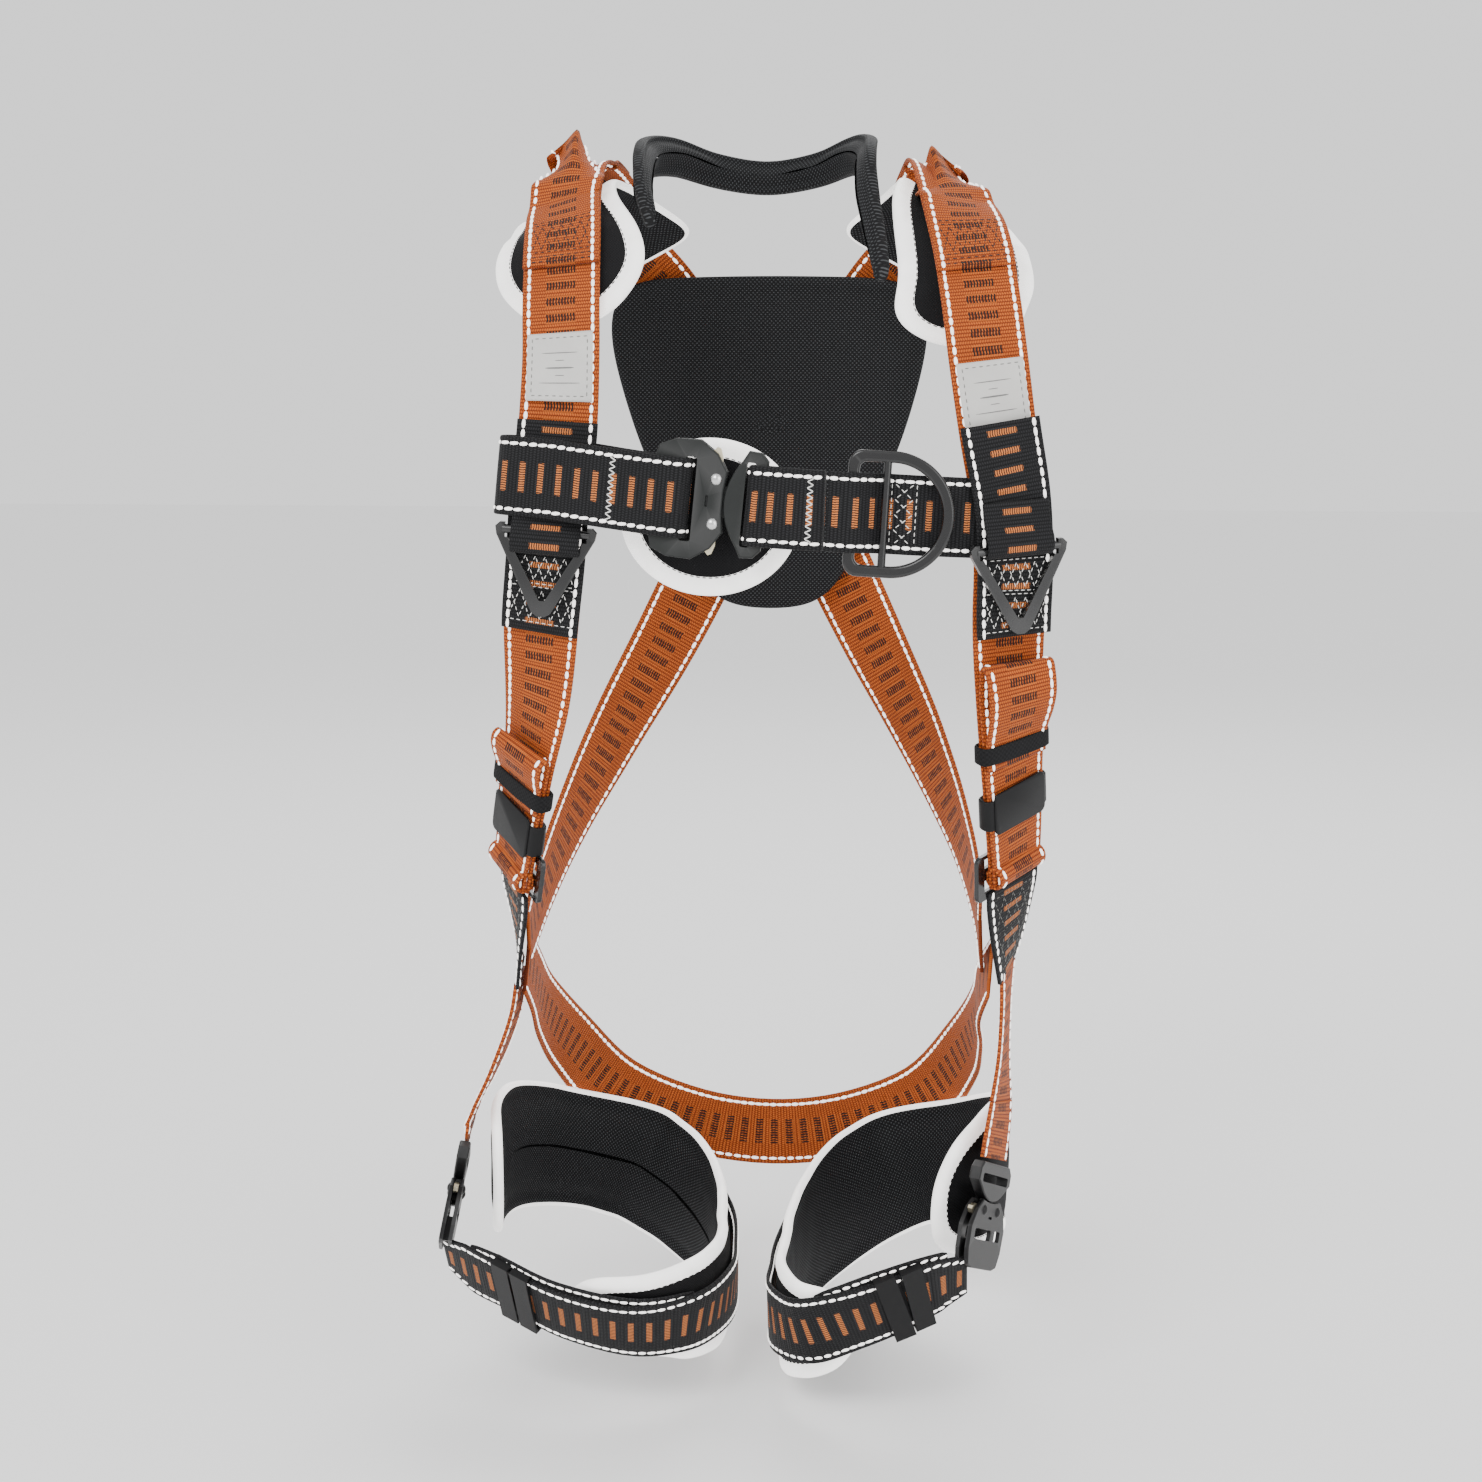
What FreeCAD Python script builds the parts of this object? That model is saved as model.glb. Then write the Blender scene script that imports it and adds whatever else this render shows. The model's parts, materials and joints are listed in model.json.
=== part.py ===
# Full-body fall-arrest harness, held in the shape it takes when worn.
# Millimetres, +Z up. X is the wearer's left, -Y the wearer's front.
# The origin is on the torso's axis at the height of the chest strap.
import FreeCAD, Part
import math, os
os.makedirs("parts", exist_ok=True)

# ---------------------------------------------------------------- driving sizes
WEB_W = 45.0            # webbing width, the usual 1 3/4 inch
WEB_T = 2.2             # webbing thickness
PAD_T = 11.0            # padded parts
SEAT_T = 9.0            # leg pads
GAP = 0.35              # free room between neighbouring layers
RING_W = 58.0           # triangle ring, across its top bar
RING_H = 52.0           # triangle ring, bar to apex
STERNAL_H = 71.0        # sternal D-ring, over its bars
STERNAL_W = 60.0        # sternal D-ring, bar to arc
DORSAL_W = 74.0         # dorsal D-ring, across its bar
DORSAL_H = 72.0         # dorsal D-ring, bar to arc
PLATE_T = 2.5           # buckle plates
BLADE_T = 2.8           # buckle blade, between the plates
CAVITY = 3.4            # room between a buckle's plates
BUCKLE_TRAVEL = 16.0    # how far a tongue draws out
TAB_TRAVEL = 2.5        # how far a release tab presses in

# ---------------------------------------------------------------- vectors
def add(a, b): return (a[0] + b[0], a[1] + b[1], a[2] + b[2])
def sub(a, b): return (a[0] - b[0], a[1] - b[1], a[2] - b[2])
def mul(a, k): return (a[0] * k, a[1] * k, a[2] * k)
def dot(a, b): return a[0] * b[0] + a[1] * b[1] + a[2] * b[2]
def cross(a, b): return (a[1] * b[2] - a[2] * b[1], a[2] * b[0] - a[0] * b[2], a[0] * b[1] - a[1] * b[0])
def length(a): return math.sqrt(dot(a, a))
def unit(a):
    k = length(a)
    return (a[0] / k, a[1] / k, a[2] / k)
def lerp(a, b, t): return tuple(p + (q - p) * t for p, q in zip(a, b))
def table(rows, x):
    """Linear look-up in [(x, y), ...], flat beyond its ends."""
    if x <= rows[0][0]: return rows[0][1]
    for (x0, y0), (x1, y1) in zip(rows, rows[1:]):
        if x <= x1: return y0 + (y1 - y0) * (x - x0) / (x1 - x0)
    return rows[-1][1]


# ---------------------------------------------------------------- webbing routes
def facing(side, deg, rise=0.0):
    """Outward normal of webbing that faces the front (-Y) turned deg degrees towards the wearer's side."""
    g, e = math.radians(deg), math.radians(rise)
    return (side * math.sin(g) * math.cos(e), -math.cos(g) * math.cos(e), math.sin(e))


def spline(values, n):
    """Centripetal Catmull-Rom through rows of numbers whose first three are a place; n steps a span."""
    pts = [tuple(v) for v in values]
    if len(pts) == 2:
        return [lerp(pts[0], pts[1], i / n) for i in range(n + 1)]
    first = tuple(2 * a - b for a, b in zip(pts[0], pts[1]))
    last = tuple(2 * a - b for a, b in zip(pts[-1], pts[-2]))
    pts = [first] + pts + [last]
    out = []
    for i in range(1, len(pts) - 2):
        p0, p1, p2, p3 = pts[i - 1:i + 3]
        def knot(t, a, b): return t + max(1e-6, math.sqrt(math.sqrt(sum((x - y) ** 2 for x, y in zip(a[:3], b[:3])))))
        t0 = 0.0
        t1 = knot(t0, p0, p1); t2 = knot(t1, p1, p2); t3 = knot(t2, p2, p3)
        for k in range(n + (i == len(pts) - 3)):
            t = t1 + (t2 - t1) * k / n
            row = []
            for a0, a1, a2, a3 in zip(p0, p1, p2, p3):
                b1 = a0 + (a1 - a0) * (t - t0) / (t1 - t0)
                b2 = a1 + (a2 - a1) * (t - t1) / (t2 - t1)
                b3 = a2 + (a3 - a2) * (t - t2) / (t3 - t2)
                c1 = b1 + (b2 - b1) * (t - t0) / (t2 - t0)
                c2 = b2 + (b3 - b2) * (t - t1) / (t3 - t1)
                row.append(c1 + (c2 - c1) * (t - t1) / (t2 - t1))
            out.append(tuple(row))
    return out


def frames(points, n=12, lift=0.0):
    """Rows (place, along, out, across, extra) down a route of (x, y, z, nx, ny, nz, extra...), set off by lift along out."""
    rows = spline(points, n)
    made = []
    for i, r in enumerate(rows):
        a, b = rows[max(0, i - 1)], rows[min(len(rows) - 1, i + 1)]
        along = unit(sub(b[:3], a[:3]))
        out = sub(r[3:6], mul(along, dot(r[3:6], along)))
        out = unit(out)
        made.append([r[:3], along, out, cross(along, out), r[6:]])
    if lift:
        for m in made:
            m[0] = add(m[0], mul(m[2], lift))
        for i, m in enumerate(made):
            a, b = made[max(0, i - 1)][0], made[min(len(made) - 1, i + 1)][0]
            m[1] = unit(sub(b, a))
            m[2] = unit(sub(m[2], mul(m[1], dot(m[2], m[1]))))
            m[3] = cross(m[1], m[2])
    return made


def span(made):
    """Running length at each row."""
    s = [0.0]
    for a, b in zip(made, made[1:]):
        s.append(s[-1] + length(sub(b[0], a[0])))
    return s


def part_of(made, s0, s1):
    """The rows between two running lengths, with new rows cut in at both."""
    s = span(made)
    s0, s1 = max(0.0, s0), min(s[-1], s1)
    def at(v):
        for i in range(len(s) - 1):
            if v <= s[i + 1] + 1e-9:
                t = (v - s[i]) / max(1e-9, s[i + 1] - s[i])
                a, b = made[i], made[i + 1]
                along = unit(lerp(a[1], b[1], t)); out = unit(lerp(a[2], b[2], t))
                out = unit(sub(out, mul(along, dot(out, along))))
                return [lerp(a[0], b[0], t), along, out, cross(along, out), lerp(a[4], b[4], t)]
    return [at(s0)] + [m for m, v in zip(made, s) if s0 + 0.4 < v < s1 - 0.4] + [at(s1)]


def thin(made, turn=9.0, step=18.0):
    """Fewer rows: one at least every step mm and every turn degrees."""
    kept, bend, run = [made[0]], 0.0, 0.0
    for a, b in zip(made, made[1:]):
        bend += math.degrees(math.acos(max(-1, min(1, dot(a[1], b[1]))))) + math.degrees(math.acos(max(-1, min(1, dot(a[2], b[2])))))
        run += length(sub(b[0], a[0]))
        if bend >= turn or run >= step:
            kept.append(b); bend, run = 0.0, 0.0
    if kept[-1] is not made[-1]:
        if length(sub(kept[-1][0], made[-1][0])) < 3.0 and len(kept) > 2: kept.pop()
        kept.append(made[-1])
    return kept
# ---------------------------------------------------------------- routes, in millimetres
# x is the wearer's left, -y the wearer's front, z up; each row is a place and the outward normal of the webbing there.
R, L = -1, 1
PANEL_Y = [(-85, 103), (-40, 110), (0, 113), (40, 113), (80, 110), (120, 104), (150, 97)]
def panel(x, z): return table(PANEL_Y, z) - 0.0016 * x * x
def on_back(side, x, z, out):
    """A row on the back panel's outer face, with out mm from its middle surface."""
    n = unit((0.0032 * side * x, 1.0, table([(-85, -0.14), (0, 0.0), (60, 0.05), (150, 0.25)], z)))
    return (side * x, panel(x, z) + out, z) + n

def shoulder_top(side):
    return [
        (side * 93, 90, 150) + unit((side * 0.22, 0.92, 0.32)),
        (side * 99, 73, 171) + unit((side * 0.3, 0.7, 0.68)),
        (side * 106, 42, 185.5) + unit((side * 0.36, 0.3, 0.88)),
    ]

# front run of each shoulder web, from the top of the shoulder to the torso adjuster
FRONT_R = [
    (-111, 5, 188) + unit((-0.37, 0.0, 0.93)),
    (-110.7, -35, 169.5) + unit((-0.28, -0.55, 0.80)),
    (-107.8, -66, 147.2) + facing(R, 8, 36),
    (-105.2, -92, 112.5) + facing(R, 3, 24),
    (-103.5, -106, 78.6) + facing(R, 3.5, 14),
    (-104.5, -114, 39.3) + facing(R, -4, 4),
    (-109.0, -116.0, 0.0) + facing(R, -2, 0),
    (-112.0, -114.5, -35) + facing(R, 0, -3),
    (-116.0, -110, -70) + facing(R, 7, -6),
    (-120.4, -99, -112) + facing(R, 23, -7),
    (-128.0, -84, -150) + facing(R, 40, -7),
    (-137.9, -66, -202) + facing(R, 54, -6),
    (-143.5, -57, -232) + facing(R, 58, -4),
]
FRONT_L = [
    (111, 5, 188) + unit((0.37, 0.0, 0.93)),
    (119.7, -35, 169.0) + unit((0.30, -0.55, 0.80)),
    (128.1, -66, 144.6) + facing(L, 5, 36),
    (134.1, -91, 112.1) + facing(L, 5, 24),
    (138.3, -103, 82.0) + facing(L, 7, 12),
    (144.5, -107, 40.0) + facing(L, 13, 4),
    (150.9, -104.5, 0.4) + facing(L, 20, -2),
    (153.0, -101, -34) + facing(L, 21, -4),
    (152.5, -98, -69) + facing(L, 23, -4),
    (153.5, -92, -110) + facing(L, 32, -7),
    (154.8, -84, -146) + facing(L, 41, -9),
    (157.2, -66, -197) + facing(L, 50, -10),
    (158.0, -58, -226) + facing(L, 54, -8),
]
# the web below the torso adjuster, down the hip to the leg buckle
HIP_R = [
    (-144.2, -53, -243) + facing(R, 62, -6),
    (-145.0, -42, -270) + facing(R, 74, -4),
    (-144.6, -34, -298) + facing(R, 86, 0),
]
HIP_L = [
    (158.0, -54, -237) + facing(L, 49, -8),
    (157.6, -43, -264) + facing(L, 62, -6),
    (156.6, -36, -288) + facing(L, 76, -2),
]
DROP_R = [
    (-145.2, -28, -292) + facing(R, 86, 0),
    (-148.5, -27, -322) + facing(R, 90, 12),
    (-159.5, -24, -354) + facing(R, 92, 20),
    (-173.0, -16, -382) + facing(R, 92, 18),
    (-181.8, -12.5, -401) + facing(R, 88, 14),
    (-183.6, -18.9, -413.6) + facing(R, 82, 8),
]
DROP_L = [
    (156.9, -30, -284) + facing(L, 78, 0),
    (156.0, -30, -312) + facing(L, 82, 0),
    (155.0, -31, -346) + facing(L, 80, 0),
    (153.6, -37, -378) + facing(L, 72, 2),
    (149.8, -46.4, -406.5) + facing(L, 68, -2),
]
# ---------------------------------------------------------------- solids
V = FreeCAD.Vector
made_shapes = {}

def keep(name, shape):
    made_shapes[name] = shape

def faceted(loops, closed=False):
    """A solid from loops of points, one loop a row, with flat triangular sides."""
    faces = []
    def tri(a, b, c):
        if length(cross(sub(b, a), sub(c, a))) > 1e-4:
            w = Part.makePolygon([V(*a), V(*b), V(*c), V(*a)])
            faces.append(Part.Face(w))
    n = len(loops[0])
    pairs = list(zip(loops, loops[1:])) + ([(loops[-1], loops[0])] if closed else [])
    for a, b in pairs:
        for i in range(n):
            j = (i + 1) % n
            tri(a[i], a[j], b[j]); tri(a[i], b[j], b[i])
    if not closed:
        for loop in (loops[0], loops[-1]):
            for i in range(1, n - 1):
                tri(loop[0], loop[i], loop[i + 1])
    solid = Part.Solid(Part.Shell(faces))
    if solid.Volume < 0: solid.reverse()
    return solid

def web(made, w=WEB_W, t=WEB_T, closed=False, reduce=True):
    """Webbing of even width and thickness down the rows."""
    rows = thin(made) if reduce else made
    run = span(rows)
    loops = []
    for (p, along, out, across, extra), s in zip(rows, run):
        a, o = mul(across, (w(s) if callable(w) else w) / 2), mul(out, t / 2)
        loops.append([add(add(p, a), o), sub(add(p, a), o), sub(sub(p, a), o), add(sub(p, a), o)])
    return faceted(loops, closed)

def quilt(rows, t, parts=6, edge=0.35):
    """A pad from stations of (one edge, other edge, outward normal, bow), tapered at both edges."""
    loops = []
    for one, other, out, bow in rows:
        out = unit(out)
        top, under = [], []
        for i in range(parts + 1):
            f = i / parts
            k = 1 - (2 * f - 1) ** 2
            mid = add(lerp(one, other, f), mul(out, bow * k))
            half = t / 2 * (edge + (1 - edge) * min(1.0, 3.2 * k))
            top.append(add(mid, mul(out, half)))
            under.append(add(mid, mul(out, -half)))
        loops.append(top + under[::-1])
    return faceted(loops)

def station(row):
    return spline([tuple(a) + tuple(b) + tuple(n) + (c,) for a, b, n, c in row], 2)

def pad(row, t):
    rows = [(r[0:3], r[3:6], r[6:9], r[9]) for r in station(row)]
    return quilt(rows, t)

def place(shape, at, ex, out):
    """Moves a piece made at the origin: its x runs along ex and its -y looks along out."""
    ex = unit(ex)
    ey = mul(out, -1)
    ey = unit(sub(ey, mul(ex, dot(ey, ex))))
    ez = cross(ex, ey)
    m = FreeCAD.Matrix(ex[0], ey[0], ez[0], at[0], ex[1], ey[1], ez[1], at[1], ex[2], ey[2], ez[2], at[2], 0, 0, 0, 1)
    s = shape.copy()
    s.Placement = FreeCAD.Placement(m)
    return s

def poly(points, y0, y1):
    """A plate outlined in x and z, from y0 to y1."""
    w = Part.makePolygon([V(x, y0, z) for x, z in points] + [V(points[0][0], y0, points[0][1])])
    return Part.Face(w).extrude(V(0, y1 - y0, 0))

def box(x0, x1, y0, y1, z0, z1):
    return Part.makeBox(x1 - x0, y1 - y0, z1 - z0, V(x0, y0, z0))

def round_upright(shape, radius, test=lambda e: True):
    """Fillets the edges that run along y."""
    edges = []
    for e in shape.Edges:
        if len(e.Vertexes) == 2:
            a, b = e.Vertexes[0].Point, e.Vertexes[1].Point
            if abs(a.x - b.x) < 1e-6 and abs(a.z - b.z) < 1e-6 and abs(a.y - b.y) > 0.5 and test(a):
                edges.append(e)
    return shape.makeFillet(radius, edges) if edges else shape

def soften(shape, radius, test):
    """Fillets the rims of the faces that look along y and pass the test."""
    edges = {}
    for f in shape.Faces:
        n = f.normalAt(0.5, 0.5)
        if abs(n.y) > 0.999 and test(f.CenterOfMass):
            for e in f.Edges: edges[e.hashCode()] = e
    try:
        s = shape.makeFillet(radius, list(edges.values()))
        return s if s.isValid() and s.Volume > 0.5 * shape.Volume else shape
    except Exception:
        return shape


# ---------------------------------------------------------------- shoulder, back and hip webbing
def shoulder_route(side):
    layer = 8.2 if side < 0 else 11.0
    back = [on_back(side, 14, 27, layer), on_back(side, 26, 54, layer), on_back(side, 45, 86, 8.6),
            on_back(side, 70, 122, 8.6)]
    return frames(back + shoulder_top(side) + (FRONT_R if side < 0 else FRONT_L), 4)

shoulder = {side: shoulder_route(side) for side in (R, L)}
keep("shoulder_strap_right", web(shoulder[R], reduce=False))
keep("shoulder_strap_left", web(shoulder[L], reduce=False))

def back_route(side):
    layer = 8.2 if side < 0 else 11.0
    return frames([on_back(side, 14, 7, layer), on_back(side, 25, -18, layer), on_back(side, 42, -52, 8.8),
                   (side * 68, 104, -104) + facing(side, 160, 4),
                   (side * 102, 82, -168) + facing(side, 137, 6),
                   (side * 127, 48, -222) + facing(side, 112, 4),
                   (side * 138.5, 8, -258) + facing(side, 95, 0),
                   (side * 140.3, -28, -276) + facing(side, 84, 0)], 5)
back = {side: back_route(side) for side in (R, L)}
keep("back_strap_right", web(back[R]))
keep("back_strap_left", web(back[L]))

hip = {R: frames(HIP_R, 6), L: frames(HIP_L, 6)}
drop = {}
for side, name, top, low in ((R, "right", HIP_R, DROP_R), (L, "left", HIP_L, DROP_L)):
    keep("hip_patch_" + name, web(hip[side]))
    full = frames(low, 6)
    s = span(full)
    start = min(v for v, m in zip(s, full) if m[0][2] < top[-1][2] - 3.0)
    drop[side] = part_of(full, start, s[-1])
    total = span(drop[side])[-1]
    keep("drop_strap_" + name, web(part_of(drop[side], 0, total - 36)))
    keep("drop_lead_" + name, web(part_of(drop[side], total - 35.7, total)))

seat = frames([
    (-140.0, -4, -312) + facing(R, 90, 0), (-139.5, 26, -336) + facing(R, 100, 0), (-130, 70, -372) + facing(R, 122, 2),
    (-103, 108, -416) + facing(R, 148, -2), (-52, 126, -442) + facing(R, 168, -4), (0, 131, -450) + (0.0, 0.99, -0.14),
    (52, 126, -442) + facing(L, 168, -4), (103, 108, -416) + facing(L, 148, -2), (130, 70, -372) + facing(L, 122, 2),
    (139.5, 26, -336) + facing(L, 100, 0), (140.0, -4, -312) + facing(L, 90, 0)], 5)
keep("seat_strap", web(seat))

# ---------------------------------------------------------------- leg webbing
def thigh(side, x, y, z, rise=0.0):
    """A row on the leg webbing, facing away from the thigh's axis."""
    d = unit((x - side * 90, (y + 4) * 0.95, 0))
    n = unit((d[0], d[1], rise))
    return (x, y, z) + n
LEG_R = [
    (-190.3, -53, -475.5) + facing(R, 72, -12), (-172.0, -65, -481.5) + facing(R, 53, -20), (-149.8, -77, -487.0) + facing(R, 38, -26),
    (-112.0, -96, -496.5) + facing(R, 13, -30), (-64.0, -103, -502.5) + facing(R, -13, -28), (-31, -90, -500.0) + facing(R, -45, -18),
    (-14.5, -58, -498) + facing(R, -76, -8), (-12.0, -12, -498) + facing(R, -92, 0), (-22, 44, -492) + facing(R, -122, 0),
    (-55, 88, -476) + facing(R, -158, -4), (-92, 105.5, -462) + facing(R, -176, -8)]
LEG_L = [
    (134.0, -81.2, -468.0) + facing(L, 57, -12), (122.0, -88.0, -471.0) + facing(L, 43, -18), (105.5, -95.0, -476.5) + facing(L, 29, -20), (86.5, -99.5, -484.0) + facing(L, 14, -20),
    (61.8, -102, -492.5) + facing(L, -5, -20), (35.5, -96, -501.5) + facing(L, -31, -14), (15.5, -70, -504) + facing(L, -62, -4),
    (12.0, -30, -505) + facing(L, -86, 0), (14.0, 8, -501) + facing(L, -100, 0), (26, 50, -492) + facing(L, -128, 0),
    (57, 90, -476) + facing(L, -160, -4), (92, 105.5, -462) + facing(L, -176, -8)]
leg = {}
for side, name, rows in ((R, "right", LEG_R), (L, "left", LEG_L)):
    leg[side] = frames(rows, 5)
    keep("leg_strap_" + name, web(leg[side], lambda s: table([(0, 12), (26, WEB_W)], s), reduce=False))

# ---------------------------------------------------------------- chest webbing
BUCKLE_AT = (-8.5, -134.0, 0.2)
BUCKLE_EX = unit((1.0, 0.0, -0.10))
def tilted(x, dz=0.0): return BUCKLE_AT[2] - 0.10 * (x - BUCKLE_AT[0]) + dz
# the wearer's right half: a flat band round the shoulder web and its patch, and round the buckle's bar
loop_rows = [(-32, -140.6), (-50, -140.2), (-66, -136.6), (-90, -131.4), (-112, -126.4), (-128, -123.6), (-136.0, -120.2), (-138.6, -114.6),
             (-136.0, -109.6), (-129, -107.0), (-112, -108.4), (-92, -109.6), (-80, -112.8), (-66, -120.6), (-50, -127.0), (-32, -127.4), (-28.9, -128.9), (-27.7, -134.0), (-28.5, -139.4)]
def band(points, z_of, lean_of, w=WEB_W, t=WEB_T, steps=3):
    """A closed band standing across z: its middle line is a loop of (x, y)."""
    pts = points[-2:] + points + points[:2]
    rows = spline([(x, y, 0.0) for x, y in pts], steps)[2 * steps:-2 * steps - (steps - 1)]
    n = len(rows)
    loops = []
    for i in range(n):
        a, b = rows[i - 1], rows[(i + 1) % n]
        d = unit((b[0] - a[0], b[1] - a[1], 0))
        out = (d[1], -d[0], 0)
        p = (rows[i][0], rows[i][1], z_of(rows[i][0]))
        up = unit((lean_of(rows[i][0]), 0.0, 1.0))
        loops.append([add(add(p, mul(up, w / 2)), mul(out, t / 2)), sub(add(p, mul(up, w / 2)), mul(out, t / 2)),
                      sub(sub(p, mul(up, w / 2)), mul(out, t / 2)), add(sub(p, mul(up, w / 2)), mul(out, t / 2))])
    return faceted(loops, True)
def right_z(x): return table([(-136, 14.2), (-107, 12.2), (-70, 7.4), (-26, 2.0)], x)
keep("chest_strap_right", band(loop_rows, right_z, lambda x: 0.10))

# the wearer's left half: a short band at the tongue's bar, then one layer over the D-ring's side, under its crossbar and
# between the shoulder web and its patch
lead_rows = [(13, -140.6), (22, -140.0), (46, -135.4), (48.4, -133.6), (46, -131.8), (22, -128.2), (12, -127.8), (6.6, -129.0), (5.6, -134.0), (6.2, -138.4), (8.4, -140.2)]
def left_z(x): return table([(4, -1.3), (40, -4.0), (88, -6.8), (124, -8.8), (165, -11.0)], x)
keep("chest_lead_left", band(lead_rows, left_z, lambda x: table([(10, 0.10), (48, 0.04)], x)))
def chest_row(x, y, nx=0.0): return (x, y, left_z(x)) + unit((nx, -1.0, 0.0))
chest_left = frames([chest_row(50.2, -133.4), chest_row(57, -134.2), chest_row(63.5, -134.0), chest_row(70, -129.8, 0.4), chest_row(76, -125.4, 0.3),
                     chest_row(83, -123.6), chest_row(94, -123.2), chest_row(106, -121.4, 0.1), chest_row(124, -117.2, 0.25),
                     chest_row(140, -111.4, 0.33), chest_row(162, -103.5, 0.36)], 3)
keep("chest_strap_left", web(chest_left, reduce=False))

# ---------------------------------------------------------------- patches that carry the triangle rings
def along_front(side, z0, z1):
    """The shoulder web's rows between two heights, on the front."""
    rows = [m for m in shoulder[side] if m[0][1] < -20]
    s = span(rows)
    def at(z):
        for i in range(len(rows) - 1):
            a, b = rows[i][0][2], rows[i + 1][0][2]
            if (a - z) * (b - z) <= 0: return s[i] + (s[i + 1] - s[i]) * (a - z) / (a - b)
        return 0.0 if z > rows[0][0][2] else s[-1]
    return part_of(rows, at(z0), at(z1))

def lifted(rows, height):
    """Rows set off along their outward normals, by a number or by a look-up on height z."""
    out = []
    for m in rows:
        h = height if not isinstance(height, list) else table(height, m[0][2])
        out.append([add(m[0], mul(m[2], h)), m[1], m[2], m[3], m[4]])
    for i, m in enumerate(out):
        a, b = out[max(0, i - 1)][0], out[min(len(out) - 1, i + 1)][0]
        m[1] = unit(sub(b, a)); m[2] = unit(sub(m[2], mul(m[1], dot(m[2], m[1])))); m[3] = cross(m[1], m[2])
    return out

BAR_R = 2.6
ring_bar = {}
for side, name, base, bar_z in ((R, "right", 2.6, -21.5), (L, "left", 7.5, -23.5)):
    lower = lifted(along_front(side, 44, -76), base)
    low = web(lower, 46, reduce=False)
    # the tab that wraps the ring's bar: a short arch over it, joined to the patch above and below
    here = part_of(lower, 0, span(lower)[-1])
    k = min(range(len(here)), key=lambda i: abs(here[i][0][2] - bar_z))
    p, along, out, across, _ = here[k]
    c = add(p, mul(out, 1.1 + 0.5 + BAR_R))
    ring_bar[side] = (c, along, out, across)
    inner, outer = BAR_R + 0.45, BAR_R + 0.45 + 1.8
    arch = Part.makeCylinder(outer, 38, V(-19, 0, 0), V(1, 0, 0)).fuse(box(-19, 19, 0, 1.1 + 0.5 + BAR_R - 0.9, -outer, outer))
    arch = arch.cut(Part.makeCylinder(inner, 38.2, V(-19.1, 0, 0), V(1, 0, 0)))
    arch = place(arch, c, across, out)
    patch = low.fuse(arch)
    keep("chest_patch_" + name, patch)
    # the ring: a round bar across the top and two flat legs that meet at the foot
    w, h, r = RING_W / 2, RING_H, 3.4
    outer_pts = [(-w, 1.5), (-w + 2.5, 4.0), (w - 2.5, 4.0), (w, 1.5), (w - 0.8, -3.0), (5.6, -h + 5.5), (2.2, -h + 3.2), (-2.2, -h + 3.2), (-5.6, -h + 5.5), (-w + 0.8, -3.0)]
    body = poly(outer_pts, -2.0, 2.0)
    iw = w - 7.2
    body = body.cut(poly([(-iw, -4.2), (iw, -4.2), (1.6, -h + 12.4), (-1.6, -h + 12.4)], -3, 3))
    body = body.cut(box(-w + 5.3, w - 5.3, -5, 5, -4.6, 6))
    body = body.fuse(Part.makeCylinder(BAR_R, 2 * w - 8, V(-w + 4, 0, 0), V(1, 0, 0)))
    ring = soften(body, 0.8, lambda q: True)
    keep("triangle_ring_" + name, place(ring, c, across if across[0] > 0 else mul(across, -1), out))

# ---------------------------------------------------------------- sternal D-ring
DX, DY, DZ = 82.0, -128.0, left_z(84)
half = STERNAL_H / 2
outline = Part.Wire([Part.LineSegment(V(-22, 0, -half + 8), V(-22, 0, half - 8)).toShape(),
                     Part.Arc(V(-22, 0, half - 8), V(-19.6, 0, half - 2.4), V(-14, 0, half)).toShape(),
                     Part.LineSegment(V(-14, 0, half), V(4, 0, half)).toShape(),
                     Part.Arc(V(4, 0, half), V(4 + half * 0.985, 0, 0), V(4, 0, -half)).toShape(),
                     Part.LineSegment(V(4, 0, -half), V(-14, 0, -half)).toShape(),
                     Part.Arc(V(-14, 0, -half), V(-19.6, 0, -half + 2.4), V(-22, 0, -half + 8)).toShape()])
disc = Part.Face(outline).extrude(V(0, 5.6, 0)).translated(V(0, -2.8, 0))
inner = half - 6.6
hole = Part.Wire([Part.LineSegment(V(-15.5, 0, -inner + 4), V(-15.5, 0, inner - 4)).toShape(),
                  Part.Arc(V(-15.5, 0, inner - 4), V(-14.3, 0, inner - 1.2), V(-11.5, 0, inner)).toShape(),
                  Part.LineSegment(V(-11.5, 0, inner), V(4, 0, inner)).toShape(),
                  Part.Arc(V(4, 0, inner), V(4 + inner * 0.985, 0, 0), V(4, 0, -inner)).toShape(),
                  Part.LineSegment(V(4, 0, -inner), V(-11.5, 0, -inner)).toShape(),
                  Part.Arc(V(-11.5, 0, -inner), V(-14.3, 0, -inner + 1.2), V(-15.5, 0, -inner + 4)).toShape()])
ring = disc.cut(Part.Face(hole).extrude(V(0, 8, 0)).translated(V(0, -4, 0)))
ring = soften(ring, 1.9, lambda q: True)
ring = ring.fuse(Part.makeCylinder(2.3, 2 * inner + 3, V(0, 0, -inner - 1.5), V(0, 0, 1)))
ex_d = unit((1.0, 0.02, -0.06))
keep("sternal_d_ring", place(ring, (DX, DY, DZ), ex_d, (0, -1, 0)))

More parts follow.
